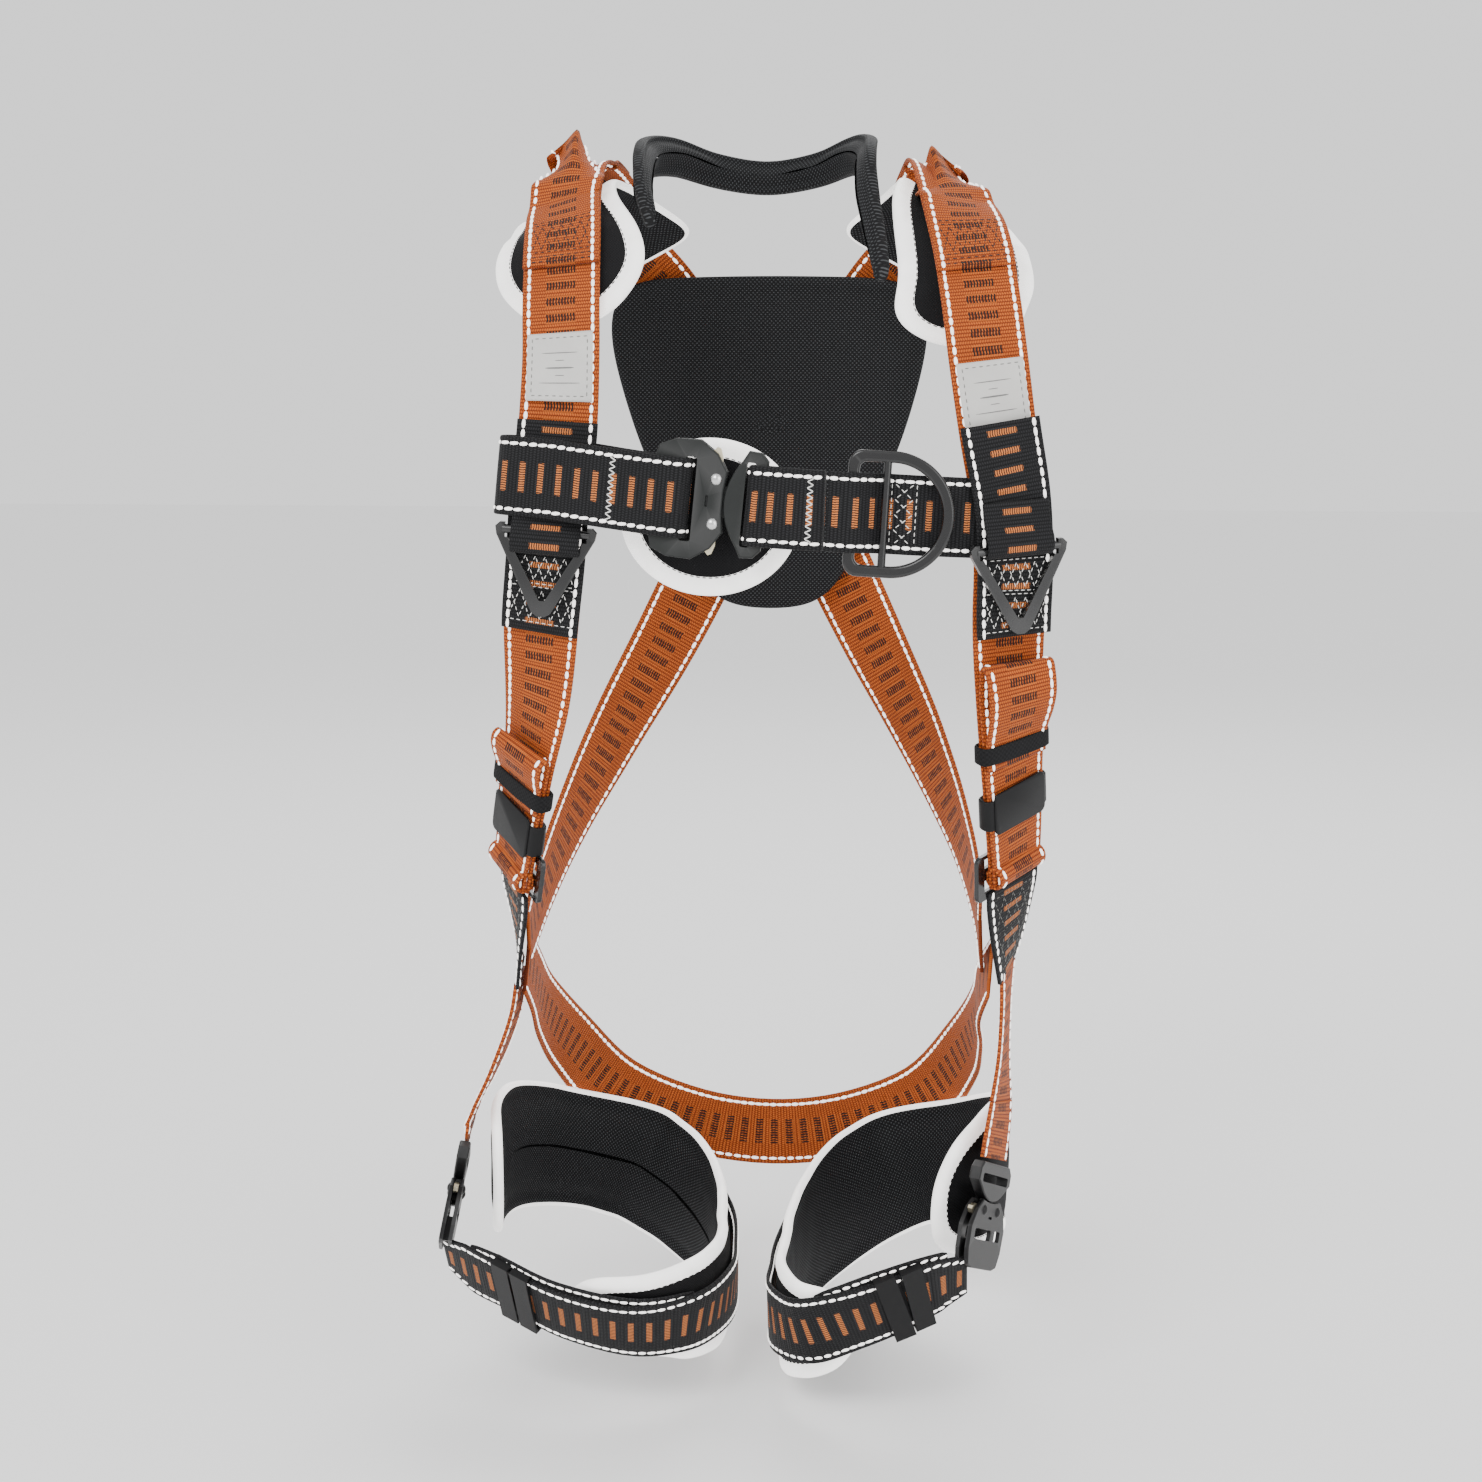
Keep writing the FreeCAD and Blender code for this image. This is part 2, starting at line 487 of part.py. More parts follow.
# ---------------------------------------------------------------- dorsal plate and D-ring
n = on_back(R, 0, 22, 0)[3:6]
DP = add((0, panel(0, 22), 22), mul(n, 15.4))
plate = poly([(-38, 20), (-30, 30), (30, 30), (38, 20), (38, -18), (28, -30), (-28, -30), (-38, -18)], -1.5, 1.5)
plate = round_upright(plate, 5)
lug = box(-17, -11, -11.0, 0, -5.4, 5.4).fuse(box(11, 17, -11.0, 0, -5.4, 5.4))
plate = plate.fuse(lug)
AX_OUT = 7.4
plate = plate.cut(Part.makeCylinder(4.06, 60, V(-30, -AX_OUT + 1.2, 0), V(1, 0, 0)))
keep("dorsal_plate", place(plate, DP, (-1, 0, 0), n))
rw, rh, rr = DORSAL_W / 2 - 4, DORSAL_H - 8, 4.0
def rod(p, q, radius):
    return Part.makeCylinder(radius, (q - p).Length, p, q - p)
def bend(c, big, start, sweep, radius):
    """A quarter or half turn of round bar in the x-z plane about c, from start degrees."""
    t = Part.makeTorus(big, radius, V(0, 0, 0), V(0, 0, 1), -180, 180, sweep)
    t.rotate(V(0, 0, 0), V(0, 0, 1), start)
    t.rotate(V(0, 0, 0), V(1, 0, 0), 90)
    t.translate(c)
    return t
dring = rod(V(-rw + 10, 0, 0), V(rw - 10, 0, 0), rr)
for piece in (bend(V(rw - 10, 0, -10), 10, 0, 90, rr), rod(V(rw, 0, -10), V(rw, 0, -rh + rw), rr), bend(V(0, 0, -rh + rw), rw, 180, 180, rr),
              rod(V(-rw, 0, -rh + rw), V(-rw, 0, -10), rr), bend(V(-rw + 10, 0, -10), 10, 90, 90, rr)):
    dring = dring.fuse(piece)
dring = dring.removeSplitter()
DA = add(DP, mul(n, AX_OUT - 1.2))
keep("dorsal_d_ring", place(dring, DA, (-1, 0, 0), n))

# ---------------------------------------------------------------- quick-connect buckles
FEMALE = [(-40, 21), (-38, 29), (-29, 33), (-15, 33.5), (-4.5, 26.5), (1.5, 17), (0.2, 6), (0.2, -6), (1.5, -17), (-4.5, -26.5), (-15, -33.5), (-29, -33), (-38, -29), (-40, -21)]
half_gap = CAVITY / 2
def plates(scale):
    """Front and back plates, the spacer between them and the rivets."""
    pts = [(x, z * scale) for x, z in FEMALE]
    slot = lambda: box(-22.5, -16.0, -9, 9, -23.6, 23.6)
    front = poly(pts, -half_gap - PLATE_T, -half_gap)
    front = round_upright(front, 2.5, lambda p: p.x < -10)
    front = soften(front, 0.9, lambda q: q.y < -half_gap - 0.5)
    front = front.cut(round_upright(slot(), 1.5)).cut(round_upright(box(-9.6, -8.0, -9, -half_gap - 1.2, -3.2, 3.2), 0.6))
    back_plate = round_upright(poly(pts, half_gap, half_gap + PLATE_T), 2.5, lambda p: p.x < -10).cut(round_upright(slot(), 1.5))
    spacer = box(-38, -23, -half_gap, half_gap, -21, 21)
    rivets = None
    for z in (12.5, -12.5):
        for y, d in ((-half_gap - PLATE_T, -1), (half_gap + PLATE_T, 1)):
            front = front.cut(Part.makeCylinder(2.0, 20, V(-4.5, -10, z), V(0, 1, 0)))
            back_plate = back_plate.cut(Part.makeCylinder(2.0, 20, V(-4.5, -10, z), V(0, 1, 0)))
        shank = Part.makeCylinder(2.0, 2 * half_gap + 2 * PLATE_T, V(-4.5, -half_gap - PLATE_T, z), V(0, 1, 0))
        for y, d in ((-half_gap - PLATE_T, -1), (half_gap + PLATE_T, 1)):
            ball = Part.makeSphere(4.0, V(-4.5, y - d * 2.3, z)).common(box(-12, 4, min(y, y + d * 3), max(y, y + d * 3), z - 6, z + 6))
            shank = shank.fuse(ball)
        rivets = shank if rivets is None else Part.makeCompound([rivets, shank])
    return front, back_plate, spacer, rivets

def tongue():
    """The wide outer part with its webbing slot, and the blade that goes between the plates."""
    pts = [(12.5, 30)] + [(-1.0 + 13.5 * (z / 30.0) ** 2 + 1.6, z) for z in (24, 18, 12, 6, 0, -6, -12, -18, -24)] + [(12.5, -30), (20, -29.5), (24, -25), (24, 25), (20, 29.5)]
    outer_part = poly(pts, -3.6, 3.6)
    outer_part = soften(outer_part, 1.2, lambda q: True)
    outer_part = outer_part.cut(round_upright(box(11.8, 17.2, -6, 6, -23.6, 23.6), 1.5))
    blade = poly([(-14, 4), (-11, 8.2), (-8.6, 8.2), (-8.6, 5.6), (-5.6, 5.6), (-5.6, 8.6), (4, 8.6), (4, -8.6), (-5.6, -8.6), (-5.6, -5.6), (-8.6, -5.6), (-8.6, -8.2), (-11, -8.2), (-14, -4)], -BLADE_T / 2, BLADE_T / 2)
    return outer_part.fuse(blade)

def release(side, scale):
    """A release tab: a flat slider between the plates whose pointed end stands out past their edge."""
    top = 27.2 * scale + 3.2
    pts = [(-7.8, 17.6), (-1.8, 17.6), (-1.8, 24.6 * scale), (-3.4, top - 1.0), (-5.4, top), (-7.8, 27.8 * scale)]
    if side < 0: pts = [(x, -z) for x, z in pts]
    return poly(pts, -1.4, 1.4)

front, back_plate, spacer, rivets = plates(1.0)
back_plate = back_plate.fuse(spacer)
for name, shape in (("chest_buckle_front_plate", front), ("chest_buckle_back_plate", back_plate), ("chest_buckle_rivets", rivets), ("chest_tongue", tongue()),
                    ("chest_release_upper", release(1, 1.0)), ("chest_release_lower", release(-1, 1.0))):
    keep(name, place(shape, BUCKLE_AT, BUCKLE_EX, (0, -1, 0)))

leg_buckle = {}
for side, name, at, low, out in ((R, "right", (-187.0, -32.0, -437.5), (-192.0, -50.0, -471.5), facing(R, 80, 4)), (L, "left", (145.6, -55.5, -431.5), (140.0, -67.5, -464), facing(L, 68, -4))):
    ex = unit(sub(at, low))
    leg_buckle[side] = (at, ex, out)
    front, back_plate, spacer, rivets = plates(0.94)
    body = front.fuse([back_plate, spacer] + list(rivets.Solids))
    keep("leg_buckle_" + name, place(body, at, ex, out))
    keep("leg_tongue_" + name, place(tongue(), at, ex, out))
    for k, word in ((1, "front"), (-1, "rear")):
        keep("leg_release_%s_%s" % (word, name), place(release(k, 0.94), at, ex, out))

# ---------------------------------------------------------------- adjusters, tails and keepers
def fixed_frame(rows, at_s):
    m = part_of(rows, at_s, at_s + 2)[0]
    return m
keeper_axis, arch_x = {}, {}
for side, name in ((R, "right"), (L, "left")):
    rows = shoulder[side]
    s = span(rows)
    end = s[-1]
    # the tail runs back up in front of the web and ends in a flat folded roll
    top_z, roll_z = (-146, -160) if side < 0 else (-94, -110)
    def at_height(z):
        for i in range(len(rows) - 1, 0, -1):
            if rows[i - 1][0][2] >= z >= rows[i][0][2]:
                f = (rows[i - 1][0][2] - z) / (rows[i - 1][0][2] - rows[i][0][2])
                return s[i - 1] + f * (s[i] - s[i - 1])
    a, b = at_height(top_z), at_height(roll_z)
    run = lifted(part_of(rows, b, end - 2), 3.2)
    fold = lifted(part_of(rows, a, b + 1), 4.8)
    keep("torso_tail_" + name, web(run, reduce=False).fuse(web(fold, WEB_W, 5.4, reduce=False)))
    # adjuster: a flat friction frame under the end of the web
    m = part_of(rows, end - 10, end)[0]
    frame3 = box(-31, 31, -1.5, 1.5, -17, 12.5)
    frame3 = round_upright(frame3, 4)
    for z0, z1 in ((4, 10), (-11.5, -4)):
        frame3 = frame3.cut(box(-24, 24, -3, 3, z0, z1))
    frame3 = soften(frame3, 0.6, lambda q: True)
    keep("torso_adjuster_" + name, place(frame3, add(sub(rows[-1][0], mul(rows[-1][1], 9)), mul(rows[-1][2], -3.8)), mul(rows[-1][3], -side), rows[-1][2]))
    # keepers: bands round the web and its tail
    for word, z0, wide in (("elastic_keeper_", -172 if side < 0 else -142, 11), ("tag_keeper_", -196.5 if side < 0 else -177, 20)):
        s0 = at_height(z0)
        c = part_of(rows, s0, s0 + 2)[0]
        hw, low_o, high_o = WEB_W / 2 + 1.3, -2.9, 5.8
        solid = box(-hw - 1.8, hw + 1.8, -high_o - 1.6, -low_o + 1.6, -wide / 2, wide / 2).cut(box(-hw, hw, -high_o, -low_o, -wide, wide))
        keep(word + name, place(solid, c[0], mul(c[3], -1), c[2]))
        keeper_axis[word + name] = c[1]
    # retrieval loop: an arch of webbing on the shoulder
    def stretch(y0, y1):
        return [m for m in lifted(rows, 3.2) if y1 <= m[0][1] <= y0 and m[0][2] > 130]
    behind, before = stretch(58, 24), stretch(-36, -90)
    x = (behind[-1][0][0] + before[0][0][0]) / 2
    top = 215 if side < 0 else 212
    arch_rows = [m[0] + m[2] for m in behind] + [(x, 13, top - 10) + unit((0, 0.94, 0.34)), (x, 0, top) + (0.0, 0.0, 1.0), (x, -13, top - 10.5) + unit((0, -0.92, 0.4))] + [m[0] + m[2] for m in before]
    arch = frames(arch_rows, 2)
    arch_x[side] = x
    keep("retrieval_loop_" + name, web(arch, reduce=False))
    # label: a thin stitched square on the shoulder web
    cz = 74 if side < 0 else 59
    label = lifted(along_front(side, cz + 19, cz - 19), 2.5)
    keep("label_" + name, web(label, 38, 1.0))
    # leg keepers: a pair of flat bands side by side round the leg web
    rows = leg[side]
    s0 = 52 if side < 0 else 34
    bands = []
    for k in (0, 1):
        c = part_of(rows, s0 + 15 * k, s0 + 15 * k + 2)[0]
        hw = WEB_W / 2 + 0.8
        solid = box(-hw - 1.8, hw + 1.8, -4.2, 4.0, -6.5, 6.5).cut(box(-hw, hw, -2.6, 2.4, -10, 10))
        bands.append(place(solid, c[0], mul(c[3], -1), c[2]))
    c = part_of(rows, s0 + 7, s0 + 9)[0]
    keeper_axis["leg_keepers_" + name] = c[1]
    keep("leg_keepers_" + name, Part.makeCompound(bands))

# ---------------------------------------------------------------- pads
def mirror(rows, dx=0.0):
    return [((-a[0] + dx, a[1], a[2]), (-b[0] + dx, b[1], b[2]), (-n[0], n[1], n[2]), c) for a, b, n, c in rows]
YOKE_R = [
    ((-122, -84, 97), (-88, -90, 97), (-0.1, -0.95, 0.3), 1),
    ((-143, -67, 112), (-68, -86, 113), (-0.15, -0.88, 0.45), 2),
    ((-152, -52, 128), (-57, -75, 136), (-0.2, -0.8, 0.56), 3),
    ((-150, -36, 142), (-66, -56, 157), (-0.2, -0.7, 0.68), 3),
    ((-148, -16, 148), (-80, -30, 173), (-0.28, -0.5, 0.83), 1),
    ((-147, 10, 156), (-85, 2, 184), (-0.36, -0.1, 0.93), 1),
    ((-143, 40, 152), (-80, 34, 183), (-0.36, 0.3, 0.88), 1),
    ((-132, 64, 138), (-66, 62, 173), (-0.25, 0.65, 0.72), 1),
    ((-116, 80, 118), (-42, 84, 158), (-0.15, 0.9, 0.4), 0),
]
YOKE_L = mirror(YOKE_R, 0)
YOKE_L[0] = ((152, -76, 88), (110, -86, 84), (0.2, -0.93, 0.3), 1)
YOKE_L[1] = ((162, -62, 104), (84, -84, 102), (0.2, -0.87, 0.45), 2)
YOKE_L[2] = ((165, -48, 122), (87, -75, 125), (0.22, -0.8, 0.56), 3)
YOKE_L[3] = ((162, -34, 138), (84, -56, 151), (0.22, -0.7, 0.68), 3)
YOKE_L[4] = ((158, -16, 146), (81, -30, 172), (0.28, -0.5, 0.83), 1)
keep("shoulder_pad_right", pad(YOKE_R, PAD_T))
keep("shoulder_pad_left", pad(YOKE_L, PAD_T))
BACK = []
for z, w in ((150, 34), (128, 98), (100, 104), (60, 96), (20, 84), (-20, 66), (-60, 50), (-84, 34)):
    if z > 140: continue
    BACK.append(((-w, panel(w, z) - 1, z), (w, panel(w, z) - 1, z), (0, 1, table([(-85, -0.14), (0, 0.0), (60, 0.05), (150, 0.25)], z)), 0.0016 * w * w))
keep("back_pad", pad(BACK, PAD_T))
# neck collar: a soft roll along the yoke's inner edge, open at the front
collar = []
for x, y, z, nx, ny, w in ((-57, -60, 156, 0.95, -0.45, 9), (-63, -42, 172, 0.95, -0.35, 17), (-67, -12, 190, 1, -0.1, 23), (-67, 22, 200, 0.95, -0.1, 25), (-54, 50, 202, 0.8, -0.5, 24), (-30, 72, 195, 0.4, -0.9, 22), (0, 80, 191, 0, -1, 21),
                         (30, 72, 195, -0.4, -0.9, 22), (53, 50, 202, -0.8, -0.5, 24), (64, 22, 200, -0.95, -0.1, 25), (65, -12, 189, -1, -0.1, 24), (68, -38, 167, -0.95, -0.3, 21), (74, -62, 141, -0.9, -0.45, 15), (78, -76, 123, -0.85, -0.5, 8)):
    collar.append(((x, y, z - w * 0.5), (x - nx * 4, y - ny * 4, z + w * 0.5), (nx, ny, 0.2), 2))
keep("neck_collar", pad(collar, 9.0))
disc = Part.makeCylinder(1, 6.0, V(0, -3, 0), V(0, 1, 0))
gm = FreeCAD.Matrix(); gm.scale(51.3, 1, 45.0)
disc = disc.transformGeometry(gm)
disc.translate(V(-17.5, -115.8, -9.5))
keep("chest_pad", disc)
def leg_pad(side):
    rows = []
    pts = leg[side]
    s = span(pts)
    total = s[-1]
    start = 94 if side < 0 else 70
    shift = 7.0 if side < 0 else -4.0
    wide = [(0, 26), (16, 56), (45, 70), (110, 82), (200, 84), (300, 84)]
    steps = 19
    for i in range(steps):
        f = start + (total - 8 - start) * i / (steps - 1)
        m = part_of(pts, f, f + 2)[0]
        w = table(wide, f - start)
        mid = add(m[0], mul(m[2], -(4.0 + GAP + SEAT_T / 2)))
        mid = add(mid, mul(m[3], shift * (1 if m[3][2] > 0 else -1) * max(0.0, 1 - (f - start) / 150)))
        rows.append((add(mid, mul(m[3], w / 2)), sub(mid, mul(m[3], w / 2)), m[2], 0.0))
    k = 1 if side > 0 else -1
    last = rows[-1]
    outer_end = ((122, 80, -450, 142, 84), (148, 54, -438, 118, 86), (163, 20, -430, 98, 88), (166, -8, -432, 84, 86), (161, -30, -438, 68, 78)) if side < 0 else \
        ((122, 80, -450, 142, 84), (147, 54, -438, 118, 86), (156, 20, -430, 98, 92), (149.5, -12, -426, 80, 94), (142.5, -35, -426, 70, 84))
    for x, y, z, deg, w in outer_end:
        nn = facing(side, deg, 0)
        acr = unit(cross(unit(cross((0, 0, 1), nn)), nn))
        sgn = 1 if dot(acr, sub(last[0], last[1])) > 0 else -1
        acr = mul(acr, sgn)
        p = (k * x, y, z)
        rows.append((add(p, mul(acr, w / 2)), sub(p, mul(acr, w / 2)), nn, 0.0))
    return rows
for side, name in ((R, "right"), (L, "left")):
    keep("leg_pad_" + name, pad(leg_pad(side), SEAT_T))

# ---------------------------------------------------------------- files
for name, shape in made_shapes.items():
    if not shape.isValid():
        print("not valid:", name)
    shape.exportStep("parts/%s.step" % name)
print(len(made_shapes), "nodes")
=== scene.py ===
# The looks of a full-body safety harness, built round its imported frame.
# Routes are in millimetres in the frame's axes and are turned into metres when a mesh is made.
import bpy, bmesh, json, math, random
import numpy as np
from mathutils import Vector, Matrix
from mathutils.bvhtree import BVHTree


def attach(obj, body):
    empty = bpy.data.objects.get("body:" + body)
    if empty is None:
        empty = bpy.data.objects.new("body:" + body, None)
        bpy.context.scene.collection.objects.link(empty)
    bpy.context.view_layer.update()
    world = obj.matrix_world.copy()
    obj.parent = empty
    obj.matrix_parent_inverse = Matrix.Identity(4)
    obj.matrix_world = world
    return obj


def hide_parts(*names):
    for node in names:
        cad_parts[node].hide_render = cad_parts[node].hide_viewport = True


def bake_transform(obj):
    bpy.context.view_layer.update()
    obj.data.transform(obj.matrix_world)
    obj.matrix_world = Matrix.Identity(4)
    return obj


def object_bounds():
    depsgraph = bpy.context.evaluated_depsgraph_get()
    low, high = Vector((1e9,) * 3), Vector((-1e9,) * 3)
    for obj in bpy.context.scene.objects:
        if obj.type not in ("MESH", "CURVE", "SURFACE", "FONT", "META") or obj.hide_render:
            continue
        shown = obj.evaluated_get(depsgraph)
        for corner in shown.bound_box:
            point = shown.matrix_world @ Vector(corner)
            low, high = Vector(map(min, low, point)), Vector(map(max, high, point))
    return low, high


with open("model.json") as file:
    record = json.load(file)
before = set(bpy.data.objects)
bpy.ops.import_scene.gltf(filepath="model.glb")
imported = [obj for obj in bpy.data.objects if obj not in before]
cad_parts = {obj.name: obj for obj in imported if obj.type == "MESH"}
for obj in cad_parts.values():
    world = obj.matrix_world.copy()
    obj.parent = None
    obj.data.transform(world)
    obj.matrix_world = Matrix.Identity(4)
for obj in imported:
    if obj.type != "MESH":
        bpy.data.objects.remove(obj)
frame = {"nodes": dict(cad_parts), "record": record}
cad_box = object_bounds()
random.seed(11)
WEB_W, WEB_T = 45.0, 2.2
GAP, SEAT_T = 0.35, 9.0
HARNESS = "harness"
BODY = {}
for _b, _ns in frame["record"]["behaviour"]["bodies"].items():
    for _n in _ns:
        BODY[_n] = _b
SLOT = {s["node"]: s["material_slot"] for s in frame["record"]["subparts"]}
# ---------------------------------------------------------------- vectors
def add(a, b): return (a[0] + b[0], a[1] + b[1], a[2] + b[2])
def sub(a, b): return (a[0] - b[0], a[1] - b[1], a[2] - b[2])
def mul(a, k): return (a[0] * k, a[1] * k, a[2] * k)
def dot(a, b): return a[0] * b[0] + a[1] * b[1] + a[2] * b[2]
def cross(a, b): return (a[1] * b[2] - a[2] * b[1], a[2] * b[0] - a[0] * b[2], a[0] * b[1] - a[1] * b[0])
def length(a): return math.sqrt(dot(a, a))
def unit(a):
    k = length(a)
    return (a[0] / k, a[1] / k, a[2] / k)
def lerp(a, b, t): return tuple(p + (q - p) * t for p, q in zip(a, b))
def table(rows, x):
    """Linear look-up in [(x, y), ...], flat beyond its ends."""
    if x <= rows[0][0]: return rows[0][1]
    for (x0, y0), (x1, y1) in zip(rows, rows[1:]):
        if x <= x1: return y0 + (y1 - y0) * (x - x0) / (x1 - x0)
    return rows[-1][1]


# ---------------------------------------------------------------- webbing routes
def facing(side, deg, rise=0.0):
    """Outward normal of webbing that faces the front (-Y) turned deg degrees towards the wearer's side."""
    g, e = math.radians(deg), math.radians(rise)
    return (side * math.sin(g) * math.cos(e), -math.cos(g) * math.cos(e), math.sin(e))


def spline(values, n):
    """Centripetal Catmull-Rom through rows of numbers whose first three are a place; n steps a span."""
    pts = [tuple(v) for v in values]
    if len(pts) == 2:
        return [lerp(pts[0], pts[1], i / n) for i in range(n + 1)]
    first = tuple(2 * a - b for a, b in zip(pts[0], pts[1]))
    last = tuple(2 * a - b for a, b in zip(pts[-1], pts[-2]))
    pts = [first] + pts + [last]
    out = []
    for i in range(1, len(pts) - 2):
        p0, p1, p2, p3 = pts[i - 1:i + 3]
        def knot(t, a, b): return t + max(1e-6, math.sqrt(math.sqrt(sum((x - y) ** 2 for x, y in zip(a[:3], b[:3])))))
        t0 = 0.0
        t1 = knot(t0, p0, p1); t2 = knot(t1, p1, p2); t3 = knot(t2, p2, p3)
        for k in range(n + (i == len(pts) - 3)):
            t = t1 + (t2 - t1) * k / n
            row = []
            for a0, a1, a2, a3 in zip(p0, p1, p2, p3):
                b1 = a0 + (a1 - a0) * (t - t0) / (t1 - t0)
                b2 = a1 + (a2 - a1) * (t - t1) / (t2 - t1)
                b3 = a2 + (a3 - a2) * (t - t2) / (t3 - t2)
                c1 = b1 + (b2 - b1) * (t - t0) / (t2 - t0)
                c2 = b2 + (b3 - b2) * (t - t1) / (t3 - t1)
                row.append(c1 + (c2 - c1) * (t - t1) / (t2 - t1))
            out.append(tuple(row))
    return out


def frames(points, n=12, lift=0.0):
    """Rows (place, along, out, across, extra) down a route of (x, y, z, nx, ny, nz, extra...), set off by lift along out."""
    rows = spline(points, n)
    made = []
    for i, r in enumerate(rows):
        a, b = rows[max(0, i - 1)], rows[min(len(rows) - 1, i + 1)]
        along = unit(sub(b[:3], a[:3]))
        out = sub(r[3:6], mul(along, dot(r[3:6], along)))
        out = unit(out)
        made.append([r[:3], along, out, cross(along, out), r[6:]])
    if lift:
        for m in made:
            m[0] = add(m[0], mul(m[2], lift))
        for i, m in enumerate(made):
            a, b = made[max(0, i - 1)][0], made[min(len(made) - 1, i + 1)][0]
            m[1] = unit(sub(b, a))
            m[2] = unit(sub(m[2], mul(m[1], dot(m[2], m[1]))))
            m[3] = cross(m[1], m[2])
    return made


def span(made):
    """Running length at each row."""
    s = [0.0]
    for a, b in zip(made, made[1:]):
        s.append(s[-1] + length(sub(b[0], a[0])))
    return s


def part_of(made, s0, s1):
    """The rows between two running lengths, with new rows cut in at both."""
    s = span(made)
    s0, s1 = max(0.0, s0), min(s[-1], s1)
    def at(v):
        for i in range(len(s) - 1):
            if v <= s[i + 1] + 1e-9:
                t = (v - s[i]) / max(1e-9, s[i + 1] - s[i])
                a, b = made[i], made[i + 1]
                along = unit(lerp(a[1], b[1], t)); out = unit(lerp(a[2], b[2], t))
                out = unit(sub(out, mul(along, dot(out, along))))
                return [lerp(a[0], b[0], t), along, out, cross(along, out), lerp(a[4], b[4], t)]
    return [at(s0)] + [m for m, v in zip(made, s) if s0 + 0.4 < v < s1 - 0.4] + [at(s1)]


def thin(made, turn=9.0, step=18.0):
    """Fewer rows: one at least every step mm and every turn degrees."""
    kept, bend, run = [made[0]], 0.0, 0.0
    for a, b in zip(made, made[1:]):
        bend += math.degrees(math.acos(max(-1, min(1, dot(a[1], b[1]))))) + math.degrees(math.acos(max(-1, min(1, dot(a[2], b[2])))))
        run += length(sub(b[0], a[0]))
        if bend >= turn or run >= step:
            kept.append(b); bend, run = 0.0, 0.0
    if kept[-1] is not made[-1]:
        if length(sub(kept[-1][0], made[-1][0])) < 3.0 and len(kept) > 2: kept.pop()
        kept.append(made[-1])
    return kept
# ---------------------------------------------------------------- routes, in millimetres
# x is the wearer's left, -y the wearer's front, z up; each row is a place and the outward normal of the webbing there.
R, L = -1, 1
PANEL_Y = [(-85, 103), (-40, 110), (0, 113), (40, 113), (80, 110), (120, 104), (150, 97)]
def panel(x, z): return table(PANEL_Y, z) - 0.0016 * x * x
def on_back(side, x, z, out):
    """A row on the back panel's outer face, with out mm from its middle surface."""
    n = unit((0.0032 * side * x, 1.0, table([(-85, -0.14), (0, 0.0), (60, 0.05), (150, 0.25)], z)))
    return (side * x, panel(x, z) + out, z) + n

def shoulder_top(side):
    return [
        (side * 93, 90, 150) + unit((side * 0.22, 0.92, 0.32)),
        (side * 99, 73, 171) + unit((side * 0.3, 0.7, 0.68)),
        (side * 106, 42, 185.5) + unit((side * 0.36, 0.3, 0.88)),
    ]

# front run of each shoulder web, from the top of the shoulder to the torso adjuster
FRONT_R = [
    (-111, 5, 188) + unit((-0.37, 0.0, 0.93)),
    (-110.7, -35, 169.5) + unit((-0.28, -0.55, 0.80)),
    (-107.8, -66, 147.2) + facing(R, 8, 36),
    (-105.2, -92, 112.5) + facing(R, 3, 24),
    (-103.5, -106, 78.6) + facing(R, 3.5, 14),
    (-104.5, -114, 39.3) + facing(R, -4, 4),
    (-109.0, -116.0, 0.0) + facing(R, -2, 0),
    (-112.0, -114.5, -35) + facing(R, 0, -3),
    (-116.0, -110, -70) + facing(R, 7, -6),
    (-120.4, -99, -112) + facing(R, 23, -7),
    (-128.0, -84, -150) + facing(R, 40, -7),
    (-137.9, -66, -202) + facing(R, 54, -6),
    (-143.5, -57, -232) + facing(R, 58, -4),
]
FRONT_L = [
    (111, 5, 188) + unit((0.37, 0.0, 0.93)),
    (119.7, -35, 169.0) + unit((0.30, -0.55, 0.80)),
    (128.1, -66, 144.6) + facing(L, 5, 36),
    (134.1, -91, 112.1) + facing(L, 5, 24),
    (138.3, -103, 82.0) + facing(L, 7, 12),
    (144.5, -107, 40.0) + facing(L, 13, 4),
    (150.9, -104.5, 0.4) + facing(L, 20, -2),
    (153.0, -101, -34) + facing(L, 21, -4),
    (152.5, -98, -69) + facing(L, 23, -4),
    (153.5, -92, -110) + facing(L, 32, -7),
    (154.8, -84, -146) + facing(L, 41, -9),
    (157.2, -66, -197) + facing(L, 50, -10),
    (158.0, -58, -226) + facing(L, 54, -8),
]
# the web below the torso adjuster, down the hip to the leg buckle
HIP_R = [
    (-144.2, -53, -243) + facing(R, 62, -6),
    (-145.0, -42, -270) + facing(R, 74, -4),
    (-144.6, -34, -298) + facing(R, 86, 0),
]
HIP_L = [
    (158.0, -54, -237) + facing(L, 49, -8),
    (157.6, -43, -264) + facing(L, 62, -6),
    (156.6, -36, -288) + facing(L, 76, -2),
]
DROP_R = [
    (-145.2, -28, -292) + facing(R, 86, 0),
    (-148.5, -27, -322) + facing(R, 90, 12),
    (-159.5, -24, -354) + facing(R, 92, 20),
    (-173.0, -16, -382) + facing(R, 92, 18),
    (-181.8, -12.5, -401) + facing(R, 88, 14),
    (-183.6, -18.9, -413.6) + facing(R, 82, 8),
]
DROP_L = [
    (156.9, -30, -284) + facing(L, 78, 0),
    (156.0, -30, -312) + facing(L, 82, 0),
    (155.0, -31, -346) + facing(L, 80, 0),
    (153.6, -37, -378) + facing(L, 72, 2),
    (149.8, -46.4, -406.5) + facing(L, 68, -2),
]
